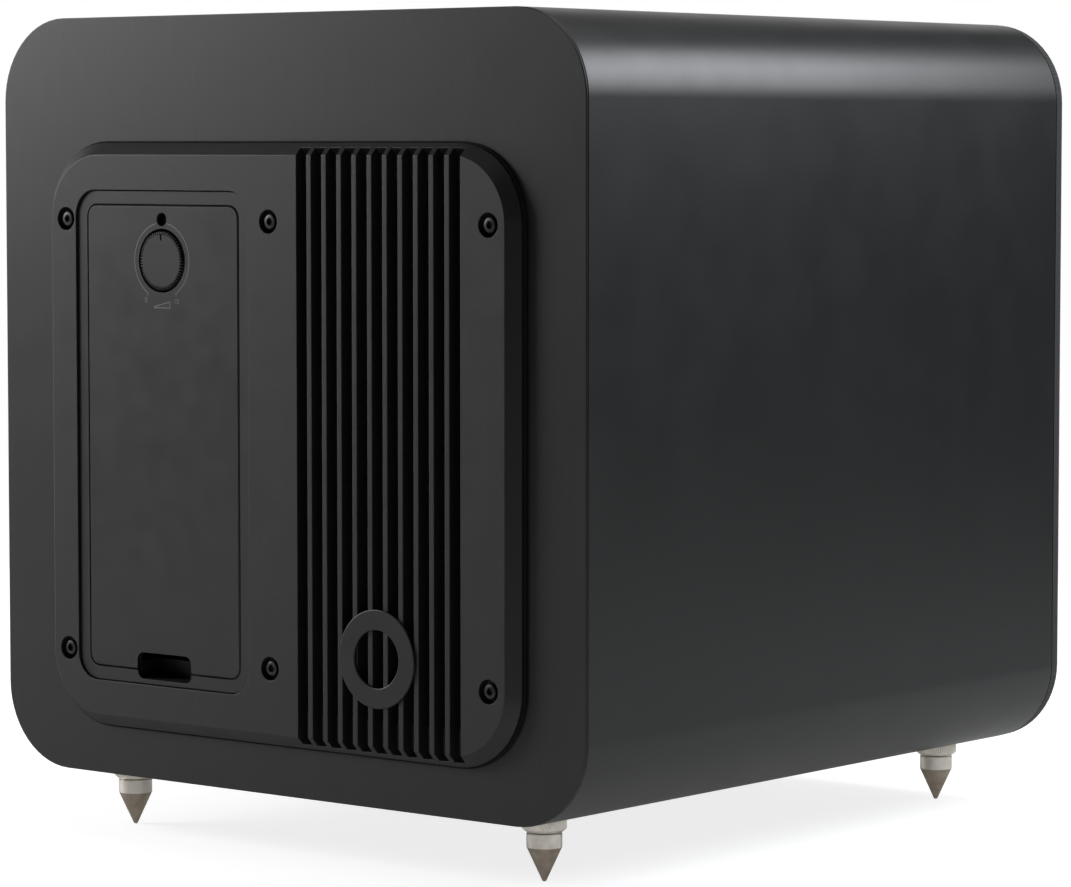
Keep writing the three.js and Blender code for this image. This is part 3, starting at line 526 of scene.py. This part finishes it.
def carve(piece, vertices, faces):
    """Cuts a solid out of a piece's mesh."""
    cutter = new_piece("cutter", vertices, faces, None, "steel", [])
    cut = piece.modifiers.new("cut", "BOOLEAN")
    cut.operation = "DIFFERENCE"
    cut.solver = "EXACT"
    cut.object = cutter
    view = bpy.context.evaluated_depsgraph_get()
    mesh = bpy.data.meshes.new_from_object(piece.evaluated_get(view))
    piece.modifiers.clear()
    piece.data = mesh
    bpy.data.objects.remove(cutter)


def centre_across(low, high):
    """The X and Z of a box's middle, where the axis of a piece turned about Y runs."""
    return ((low.x + high.x) / 2, (low.z + high.z) / 2)


# ---------------------------------------------------------------- cabinet

def dress_cabinet():
    refine("cabinet_wrap", FILM, 0.35 * MM, 3)
    refine("rear_panel", PANEL_FILM, 0.2 * MM)
    refine("front_baffle", MOULDED, 0.4 * MM)
    refine("window_brace", BOARD, 0.5 * MM)
    for side in ("top", "bottom", "left", "right"):
        refine(f"grille_magnet_{side}", NICKEL, 0.2 * MM)


WADDING_VOXEL = 5 * MM
WADDING_SETBACK = 2.2 * MM
WADDING_WAVES = ((70, 0.0, 0.9), (131, 1.3, 0.6), (263, 2.1, 0.3))


def make_wadding():
    """Loose fibre lining: the CAD lining remeshed, drawn in a little and left lumpy."""
    source = NODES["acoustic_wadding"]
    mesh = source.data.copy()
    lining = bpy.data.objects.new("fibre_lining", mesh)
    bpy.context.scene.collection.objects.link(lining)
    lining.modifiers.new("weld", "WELD").merge_threshold = WELD
    remesh = lining.modifiers.new("voxels", "REMESH")
    remesh.mode = "VOXEL"
    remesh.voxel_size = WADDING_VOXEL
    relax = lining.modifiers.new("relax", "SMOOTH")
    relax.iterations = 4
    view = bpy.context.evaluated_depsgraph_get()
    soft = bpy.data.meshes.new_from_object(lining.evaluated_get(view))
    lining.modifiers.clear()
    lining.data = soft
    for vertex in soft.vertices:
        spot = vertex.co
        lump = sum(
            share * math.sin(rate * spot.x + phase) * math.sin(rate * spot.y + 2 * phase)
            * math.sin(rate * spot.z + 3 * phase)
            for rate, phase, share in WADDING_WAVES
        )
        vertex.co = spot + vertex.normal * (lump * MM - WADDING_SETBACK)
    soft.materials.clear()
    soft.materials.append(FELT)
    lining.modifiers.new("round", "SUBSURF").levels = 1
    lining.modifiers["round"].render_levels = 1
    lining.modifiers.new("smooth", "NODES").node_group = SMOOTHING
    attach(lining, CABINET)
    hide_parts("acoustic_wadding")


# ---------------------------------------------------------------- spikes

KNURLS = 60
KNURL_DEPTH = 0.28 * MM


def knurled(radius, angle):
    """Straight knurling: V grooves round a rim."""
    tooth = abs((angle * KNURLS / FULL_TURN) % 1 - 0.5) * 2
    return radius - KNURL_DEPTH * (1 - tooth)


def make_lock_ring(name):
    low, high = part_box(f"lock_ring_{name}")
    centre = ((low.x + high.x) / 2, (low.y + high.y) / 2)
    outer = (high.x - low.x) / 2
    bore = 4.1 * MM
    profile = [
        (bore, low.z), (outer - 1.6 * MM, low.z), (outer - 1.4 * MM, low.z + 0.15 * MM),
        (outer - 0.2 * MM, low.z + 1.1 * MM), (outer, low.z + 1.35 * MM), (outer, high.z - 0.5 * MM),
        (outer - 0.4 * MM, high.z), (bore, high.z),
    ]
    shapes = {3: knurled, 4: knurled, 5: knurled, 6: knurled}
    solid = turned(profile, centre, "Z", KNURLS * 4, shapes)
    ring = new_piece(
        f"knurled_ring_{name}", *solid, CABINET, "spike_nickel", [SPIKE_BRIGHT], [f"lock_ring_{name}"]
    )
    soften(ring, 0)


CONE_HEIGHT = 12.8 * MM


def make_spike(name):
    low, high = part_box(f"spike_{name}")
    centre = ((low.x + high.x) / 2, (low.y + high.y) / 2)
    outer = (high.x - low.x) / 2
    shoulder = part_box(f"lock_ring_{name}")[0].z - 0.4 * MM
    stud = 3.8 * MM
    profile = [(0, low.z), (0.45 * MM, low.z), (0.75 * MM, low.z + 0.2 * MM)]
    profile += [(outer - 0.12 * MM, low.z + CONE_HEIGHT - 0.2 * MM), (outer, low.z + CONE_HEIGHT)]
    profile += [(outer, shoulder - 0.4 * MM), (outer - 0.4 * MM, shoulder), (stud, shoulder)]
    turn = shoulder
    pitch = 1.25 * MM
    while turn + pitch < high.z - 0.6 * MM:
        profile += [(stud - 0.5 * MM, turn + 0.5 * pitch), (stud, turn + pitch)]
        turn += pitch
    profile += [(stud - 0.6 * MM, high.z), (0, high.z)]
    spike = new_piece(
        f"turned_spike_{name}", *turned(profile, centre, "Z", 72), f"spike_{name}", "spike_nickel",
        [SPIKE_BRIGHT, SPIKE_DARK], [f"spike_{name}"],
    )
    for face in spike.data.polygons:
        face.material_index = 1 if face.center.z < low.z + CONE_HEIGHT - 0.1 * MM else 0
    soften(spike, 0)


# ---------------------------------------------------------------- screws

def hexagonal(radius, angle):
    """A hexagon whose corners lie at radius."""
    sector = math.pi / 3
    return radius * math.cos(sector / 2) / math.cos(angle % sector - sector / 2)


def make_socket_screw(node, facing, shank, socket, seat_depth):
    """Socket-cap screw. facing is +1 when its head looks towards +Y; seat_depth is in millimetres.

    deep is one millimetre from the top of the head towards the screw's end.
    """
    low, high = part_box(node)
    centre = centre_across(low, high)
    head = (high.x - low.x) / 2
    top = high.y if facing > 0 else low.y
    end = low.y if facing > 0 else high.y
    deep = -facing * MM
    profile = [
        (0, end), (shank - 0.4 * MM, end), (shank, end - 0.4 * deep), (shank, top + seat_depth * deep),
        (head - 0.1 * MM, top + seat_depth * deep), (head, top + (seat_depth - 0.1) * deep),
        (head, top + 0.45 * deep), (head - 0.15 * MM, top + 0.15 * deep), (head - 0.5 * MM, top),
        (socket + 0.12 * MM, top), (socket, top + 0.12 * deep), (socket, top + 1.5 * deep),
        (0, top + 1.9 * deep),
    ]
    shapes = {9: hexagonal, 10: hexagonal, 11: hexagonal}
    solid = turned(profile, centre, "Y", 48, shapes)
    screw = new_piece(f"socket_{node}", *solid, CABINET, "black_steel", [BLACK_STEEL], [node])
    soften(screw, 0)


# ---------------------------------------------------------------- amplifier plate and tray

def dress_amplifier():
    refine("amp_plate", CAST, 0.35 * MM, 3)
    refine("amp_gasket", FOAM, 0.1 * MM)
    refine("amp_back_box", STEEL, 0.4 * MM)
    refine("amp_board", SOLDER_MASK, 0.3 * MM)
    refine("toroidal_transformer", WINDING, 0)
    refine("badge_ring", BADGE, 0.25 * MM, 3)
    refine("connection_tray", TRAY, 0.25 * MM, 3)
    refine("tray_cover", COVER, 0.42 * MM, 3)
    refine("crossover_knob", KNOB, 0.3 * MM)
    refine("level_control", STEEL, 0.3 * MM)
    refine("crossover_control", STEEL, 0.3 * MM)
    refine("led_light_pipe", LENS, 0.3 * MM)
    refine("phase_switch", SWITCH, 0.3 * MM)
    refine("power_mode_switch", SWITCH, 0.3 * MM)
    refine("mains_inlet", SOCKET, 0.3 * MM)
    refine("mains_rocker", SWITCH, 0.4 * MM, 3)


SERRATIONS = 60
SERRATION_DEPTHS = (1.2 * MM, 1.6 * MM, 1.6 * MM, 1.45 * MM, 1.05 * MM, 0.8 * MM)
NOTCH_WIDTH = 0.8 * MM
NOTCH_LENGTH = 2.5 * MM
NOTCH_INSET = 1.25 * MM
NOTCH_DEPTH = 0.8 * MM


def serrated(depth):
    """A radius rule that cuts flat-bottomed grooves of one depth round the knob's rim."""
    def cut(radius, angle):
        phase = (angle * SERRATIONS / FULL_TURN) % 1
        inside = min(max((0.25 - abs(phase - 0.5)) / 0.1, 0), 1)
        return radius - depth * inside
    return cut


def make_level_knob():
    """A cap on a long stem: serrated rim and sloping edge, flat face and a pointer notch."""
    low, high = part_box("level_knob")
    centre = centre_across(low, high)
    rim = (high.x - low.x) / 2
    face = high.y
    stem = 3 * MM
    back = face - 9 * MM
    profile = [
        (0, low.y), (stem, low.y), (stem, back), (rim - 0.4 * MM, back), (rim, back + 0.4 * MM),
        (rim, face - 0.9 * MM), (rim - 0.2 * MM, face - 0.45 * MM), (rim - 0.65 * MM, face - 0.08 * MM),
        (rim - 0.95 * MM, face), (0, face),
    ]
    shapes = {corner + 3: serrated(depth) for corner, depth in enumerate(SERRATION_DEPTHS)}
    knob = new_piece(
        "serrated_level_knob", *turned(profile, centre, "Y", SERRATIONS * 6, shapes), "level_knob",
        "knob_moulding", [KNOB], ["level_knob"],
    )
    outer_end = centre[1] + rim - NOTCH_INSET
    carve(knob, *block(
        (centre[0] - NOTCH_WIDTH / 2, face - NOTCH_DEPTH, outer_end - NOTCH_LENGTH),
        (centre[0] + NOTCH_WIDTH / 2, face + NOTCH_DEPTH, outer_end),
    ))
    soften(knob, 0)


SCALE_RADIUS = 14.4 * MM
SCALE_START = math.radians(-60)
SCALE_END = math.radians(240)
SCALE_GAP = math.radians(12)
TICK_LENGTH = 1.0 * MM
STROKE = 0.36 * MM
INK_THICKNESS = 0.03 * MM
INK_LIFT = 0.005 * MM
WEDGE_HALF = 4.2 * MM
WEDGE_DROP = 17.9 * MM
WEDGE_HEIGHT = 2.3 * MM
NUMERAL_SIZE = 2.8 * MM
NUMERALS = (("0", 8.4 * MM, -15.1 * MM), ("10", -7.6 * MM, -15.4 * MM))


def round_knob(centre, radius, angle):
    return (centre[0] + radius * math.cos(angle), centre[1] + radius * math.sin(angle))


def make_scale():
    """Printed scale round the level knob: an arc broken at the status light, ticks and a wedge."""
    centre = centre_across(*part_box("level_knob"))
    y = cover_face + INK_LIFT
    top = math.pi / 2
    steps = 60
    strokes = []
    for start, end in ((SCALE_START, top - SCALE_GAP), (top + SCALE_GAP, SCALE_END)):
        angles = [start + (end - start) * i / steps for i in range(steps + 1)]
        arc = [round_knob(centre, SCALE_RADIUS, angle) for angle in angles]
        strokes.append(ribbon(arc, STROKE, y, INK_THICKNESS))
    for angle in (SCALE_START, SCALE_END):
        tick = [round_knob(centre, SCALE_RADIUS + reach, angle) for reach in (0, TICK_LENGTH)]
        strokes.append(ribbon(tick, STROKE, y, INK_THICKNESS))
    left, right = centre[0] + WEDGE_HALF, centre[0] - WEDGE_HALF
    base = centre[1] - WEDGE_DROP
    outline = [(left, base), (right, base), (right, base + WEDGE_HEIGHT), (left, base + STROKE)]
    for one, two in zip(outline, outline[1:]):
        strokes.append(ribbon([one, two], STROKE, y, INK_THICKNESS))
    new_piece("level_scale", *joined(*strokes), "tray_cover", "cover_moulding", [INK])
    for text, across, up in NUMERALS:
        make_numeral(text, Vector((centre[0] + across, y, centre[1] + up)))


def make_numeral(text, place):
    """A printed number that faces +Y and reads left to right seen from behind."""
    curve = bpy.data.curves.new(f"numeral_{text}", "FONT")
    curve.body = text
    curve.size = NUMERAL_SIZE
    curve.extrude = INK_THICKNESS / 2
    curve.align_x = "CENTER"
    curve.align_y = "CENTER"
    writing = bpy.data.objects.new(f"numeral_{text}_curve", curve)
    bpy.context.scene.collection.objects.link(writing)
    view = bpy.context.evaluated_depsgraph_get()
    mesh = bpy.data.meshes.new_from_object(writing.evaluated_get(view))
    bpy.data.objects.remove(writing)
    facing = Matrix(((-1, 0, 0), (0, 0, 1), (0, 1, 0))).to_4x4()
    mesh.transform(Matrix.Translation(place) @ facing)
    mesh.materials.clear()
    mesh.materials.append(INK)
    numeral = bpy.data.objects.new(f"numeral_{text}", mesh)
    bpy.context.scene.collection.objects.link(numeral)
    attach(numeral, "tray_cover")


def make_input_sockets():
    """A pair of phono sockets: black housing, bright sleeves and coloured insulators."""
    low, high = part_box("input_sockets")
    centre = centre_across(low, high)
    base = high.y - 8.7 * MM
    width, height = high.x - low.x, high.z - low.z
    plate = stacked([
        (width, height, 2 * MM, base - 1.9 * MM), (width, height, 2 * MM, base - 0.5 * MM),
        (width - MM, height - MM, 1.5 * MM, base),
    ], centre, 12, True)
    inner = 2.6 * MM
    housing = block(
        (low.x + 3.2 * MM, low.y, low.z + inner), (high.x - 3.2 * MM, base - 1.9 * MM, high.z - inner)
    )
    body = new_piece(
        "phono_housing", *joined(plate, housing), CABINET, "socket_black", [SOCKET], ["input_sockets"]
    )
    soften(body, 0.15 * MM)
    for side, colour in ((1, WHITE), (-1, RED)):
        spot = (centre[0] + side * 11 * MM, centre[1])
        end = high.y
        sleeve = turned([
            (3.55 * MM, base - MM), (4.2 * MM, base - MM), (4.2 * MM, end - 0.3 * MM), (4.0 * MM, end),
            (3.7 * MM, end), (3.55 * MM, end - 0.2 * MM),
        ], spot, "Y", 64)
        label = "left" if side > 0 else "right"
        soften(new_piece(f"phono_sleeve_{label}", *sleeve, CABINET, "nickel", [NICKEL]), 0)
        insulator = turned([
            (1.7 * MM, base + MM), (3.5 * MM, base + MM), (3.5 * MM, end - 0.7 * MM),
            (3.3 * MM, end - 0.5 * MM), (1.9 * MM, end - 0.5 * MM), (1.7 * MM, end - 0.7 * MM),
        ], spot, "Y", 48)
        soften(new_piece(f"phono_insulator_{label}", *insulator, CABINET, "socket_black", [colour]), 0)


# Live, earth and neutral, in millimetres from the middle of the inlet's mouth.
BLADE_PLACES = ((7, -1.5), (0, 2.5), (-7, -1.5))


def make_mains_pins():
    """Three blades standing in the mains inlet."""
    low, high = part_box("mains_inlet")
    centre_x = (low.x + high.x) / 2
    mouth_z = (low.z + high.z) / 2 - 10 * MM
    root, tip = high.y - 16 * MM, high.y - 3 * MM
    blades = []
    for across, up in BLADE_PLACES:
        x, z = centre_x + across * MM, mouth_z + up * MM
        blades.append(block((x - MM, root, z - 2 * MM), (x + MM, tip, z + 2 * MM)))
    soften(new_piece("mains_pins", *joined(*blades), CABINET, "nickel", [NICKEL]), 0.4 * MM)


# ---------------------------------------------------------------- driver

def make_surround():
    """Half-roll rubber surround between the basket and the cone."""
    low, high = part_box("cone_surround")
    centre = centre_across(low, high)
    outer = (high.x - low.x) / 2
    back = high.y
    thickness = 1.2 * MM
    roll, roll_radius = 8 * MM, 80 * MM
    inner = 67.5 * MM
    steps = 24
    front = back - thickness
    profile = [(outer, back), (outer, front + 0.3 * MM), (outer - 0.3 * MM, front)]
    for i in range(steps + 1):
        angle = math.pi * i / steps
        profile.append((roll_radius + roll * math.cos(angle), front - roll * math.sin(angle)))
    profile += [(inner + 0.3 * MM, front), (inner, front + 0.3 * MM), (inner, back)]
    for i in range(steps, -1, -1):
        angle = math.pi * i / steps
        reach = roll - thickness
        profile.append((roll_radius + reach * math.cos(angle), back - reach * math.sin(angle)))
    piece = new_piece(
        "roll_surround", *turned(profile, centre, "Y", 144), None, "rubber", [RUBBER], ["cone_surround"]
    )
    bend(piece)
    soften(piece, 0)


def bend(piece):
    """Bakes a ring's placement into its mesh."""
    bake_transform(piece)


def make_spider():
    """Corrugated centring disc between the basket ledge and the voice coil."""
    low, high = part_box("centring_spider")
    centre = centre_across(low, high)
    outer, inner = (high.x - low.x) / 2, 26.5 * MM
    level = (low.y + high.y) / 2
    thickness, swing = 0.9 * MM, 1.5 * MM
    rolls, steps = 5, 60
    front, back = [], []
    for i in range(steps + 1):
        share = i / steps
        radius = inner + (outer - inner) * share
        calm = min(share / 0.1, (1 - share) / 0.1, 1)
        y = level + swing * calm * math.cos(FULL_TURN * rolls * share)
        front.append((radius, y - thickness / 2))
        back.insert(0, (radius, y + thickness / 2))
    piece = new_piece(
        "corrugated_spider", *turned(front + back, centre, "Y", 96), None, "spider_cloth", [SPIDER],
        ["centring_spider"],
    )
    bend(piece)
    soften(piece, 0)


def make_cone():
    """Curved cone with a folded rim."""
    low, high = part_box("cone")
    centre = centre_across(low, high)
    edge, neck = (high.x - low.x) / 2, 26.6 * MM
    front, back = low.y, high.y
    thickness = 1.4 * MM
    rim = 5 * MM
    bow = 1.08
    steps = 24
    face = [(edge, front), (edge - 4.6 * MM, front + 0.15 * MM)]
    rear = []
    for i in range(steps + 1):
        share = i / steps
        radius = edge - rim + (neck - edge + rim) * share
        depth = front + 0.4 * MM + (back - front - 2.8 * MM) * (share ** bow)
        face.append((radius, depth))
        rear.insert(0, (radius + 0.45 * thickness, depth + thickness))
    profile = face + [(neck, back), (neck + 1.2 * MM, back)] + rear + [(edge, front + thickness)]
    piece = new_piece(
        "coated_cone", *turned(profile, centre, "Y", 144), "cone_assembly", "cone_black", [CONE], ["cone"]
    )
    soften(piece, 0)


def make_dust_cap():
    low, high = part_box("dust_cap")
    centre = centre_across(low, high)
    rim = (high.x - low.x) / 2
    crown = 10 * MM
    thickness = 1.2 * MM
    steps = 20
    profile = []
    for i in range(steps + 1):
        angle = math.pi / 2 * i / steps
        profile.append((rim * math.sin(angle), low.y + crown * (1 - math.cos(angle))))
    profile.append((rim - 1.4 * MM, high.y))
    for i in range(steps - 1, -1, -1):
        angle = math.pi / 2 * i / steps
        reach = rim - 2.4 * MM
        profile.append((reach * math.sin(angle), low.y + thickness + crown * (1 - math.cos(angle))))
    piece = new_piece(
        "dome_cap", *turned(profile, centre, "Y", 96), "cone_assembly", "cap_black", [CAP], ["dust_cap"]
    )
    soften(piece, 0)


def dress_driver():
    refine("driver_basket", CAST, 0.4 * MM)
    refine("driver_gasket", RUBBER, 0.3 * MM)
    refine("voice_coil", COPPER, 0.1 * MM)
    refine("top_plate", STEEL, 0.4 * MM)
    refine("ferrite_magnet", FERRITE, 0.8 * MM)
    refine("magnet_yoke", STEEL, 0.4 * MM)
    refine("driver_terminals", MOULDED, 0.4 * MM)
    make_surround()
    make_spider()
    make_cone()
    make_dust_cap()


# ---------------------------------------------------------------- grille

CLOTH_ROUND = 2.4 * MM
CLOTH_MARGIN = 0.15 * MM
CLOTH_THICKNESS = 0.3 * MM


def make_grille_cloth():
    """One stretched knit sheet over the frame's face and round its edge."""
    low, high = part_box("grille_frame")
    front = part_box("grille_cloth")[0].y
    back = high.y - 0.3 * MM
    centre = centre_across(low, high)
    width = wrap_high.x - wrap_low.x - 2 * CLOTH_MARGIN
    corner = 32.2 * MM
    insets = [(0, back)]
    turns = 6
    for i in range(turns + 1):
        angle = math.pi / 2 * i / turns
        insets.append((CLOTH_ROUND * (1 - math.cos(angle)), front + CLOTH_ROUND * (1 - math.sin(angle))))
    rings = 6
    for i in range(1, rings + 1):
        insets.append((CLOTH_ROUND + (corner - CLOTH_ROUND - 2 * MM) * i / rings, front))
    sections = [(width - 2 * inset, width - 2 * inset, corner - inset, y) for inset, y in insets]
    shell = stacked(sections, centre, 16, False)
    cloth = new_piece("knit_cloth", *shell, "grille", "grille_fabric", [KNIT], ["grille_cloth"])
    thick = cloth.modifiers.new("thickness", "SOLIDIFY")
    thick.thickness = CLOTH_THICKNESS
    thick.offset = -1
    soften(cloth, 0)


# ---------------------------------------------------------------- studio

FLOOR_SIZE = 1.8
FLOOR_GLOW = (0.22, 0.82)
COOL = (0.93, 0.96, 1.0)
CAMERA_LENS = 142.65
CAMERA_PLACE = Vector((-1.0804, 1.3173, 0.2692))
CAMERA_AIM = Vector((0.6329, -0.7710, -0.0701))


def make_floor():
    """Pale seamless floor that glows a little, and more to the camera than to the object."""
    half = FLOOR_SIZE / 2
    corners = [(-half, -half, 0), (half, -half, 0), (half, half, 0), (-half, half, 0)]
    mesh = bpy.data.meshes.new("floor")
    mesh.from_pydata(corners, [], [(0, 1, 2, 3)])
    floor = bpy.data.objects.new("floor", mesh)
    bpy.context.scene.collection.objects.link(floor)
    paint = Paint("pale_floor", 0.8)
    paint.colour(paint.noise(3, 3), grey(0.46), grey(0.50))
    paint.shader.inputs["Emission Color"].default_value = (1, 1, 1, 1)
    rays = paint.nodes.new("ShaderNodeLightPath").outputs["Is Camera Ray"]
    paint.links.new(paint.between(rays, *FLOOR_GLOW, 0, 1), paint.shader.inputs["Emission Strength"])
    mesh.materials.append(paint.material)


def make_softbox(name, place, aim, size, radiance, tint=(1, 1, 1)):
    """A rectangular soft light of a given brightness and tint, unseen by the camera itself."""
    light = bpy.data.lights.new(name, "AREA")
    light.shape = "RECTANGLE"
    light.size, light.size_y = size
    light.color = tint
    light.energy = radiance * math.pi * size[0] * size[1]
    box = bpy.data.objects.new(name, light)
    bpy.context.scene.collection.objects.link(box)
    box.location = place
    box.rotation_mode = "QUATERNION"
    box.rotation_quaternion = (Vector(aim) - Vector(place)).to_track_quat("-Z", "Y")
    box.visible_camera = False


def make_world(backdrop, fill):
    """White for the camera, and a dim even fill for everything else."""
    world = bpy.data.worlds.new("studio")
    bpy.context.scene.world = world
    world.use_nodes = True
    nodes, links = world.node_tree.nodes, world.node_tree.links
    background = nodes["Background"]
    background.inputs["Color"].default_value = (1, 1, 1, 1)
    rays = nodes.new("ShaderNodeLightPath")
    remap = nodes.new("ShaderNodeMapRange")
    remap.inputs["To Min"].default_value = fill
    remap.inputs["To Max"].default_value = backdrop
    links.new(rays.outputs["Is Camera Ray"], remap.inputs["Value"])
    links.new(remap.outputs["Result"], background.inputs["Strength"])


def make_camera():
    camera = bpy.data.cameras.new("camera")
    camera.lens = CAMERA_LENS
    camera.sensor_width = 36
    camera.clip_start = 0.05
    camera.clip_end = 50
    viewer = bpy.data.objects.new("camera", camera)
    bpy.context.scene.collection.objects.link(viewer)
    viewer.location = CAMERA_PLACE
    viewer.rotation_mode = "QUATERNION"
    viewer.rotation_quaternion = CAMERA_AIM.to_track_quat("-Z", "Y")
    bpy.context.scene.camera = viewer


def make_studio():
    bpy.context.scene.view_settings.view_transform = "Standard"
    make_floor()
    make_camera()
    make_world(backdrop=1.0, fill=0.04)
    middle_height = (0, 0, 0.17)
    near_edge = (-0.12, 0.1, 0.3)
    make_softbox("overhead", (-0.4, -0.4, 2.2), (0.1, 0.1, 0), size=(1.6, 1.6), radiance=3.0)
    make_softbox("left_box", (1.15, 0.8, 0.6), (0.12, 0.15, 0.28), size=(0.45, 0.45), radiance=13.4)
    make_softbox("strip", (-0.53, -0.55, 0.715), near_edge, size=(0.32, 0.25), radiance=9.0, tint=COOL)
    make_softbox("right_wall", (-0.63, -0.53, 0.53), near_edge, size=(0.3, 0.25), radiance=9.0, tint=COOL)
    make_softbox("edge_top", (0.9, 0.83, 1.0), (0, 0.15, 0.17), size=(0.35, 0.35), radiance=5.0)
    make_softbox("edge_left", (1.35, 0.42, 0.25), (0.12, 0.15, 0.17), size=(0.25, 0.6), radiance=5.0)
    make_softbox("back_glow", (0.9, -1.4, 0.8), middle_height, size=(0.9, 0.7), radiance=0.9)


# ---------------------------------------------------------------- assembly

dress_cabinet()
make_wadding()
for corner_name in ("rear_left", "front_left", "rear_right", "front_right"):
    make_lock_ring(corner_name)
    make_spike(corner_name)
dress_amplifier()
for number in range(1, 7):
    make_socket_screw(f"plate_screw_{number}", 1, shank=1.6 * MM, socket=1.45 * MM, seat_depth=2.6)
    make_socket_screw(f"driver_screw_{number}", -1, shank=1.7 * MM, socket=1.7 * MM, seat_depth=2.6)
make_level_knob()
make_scale()
make_input_sockets()
make_mains_pins()
dress_driver()
refine("grille_frame", MOULDED, 0.4 * MM)
make_grille_cloth()
make_studio()
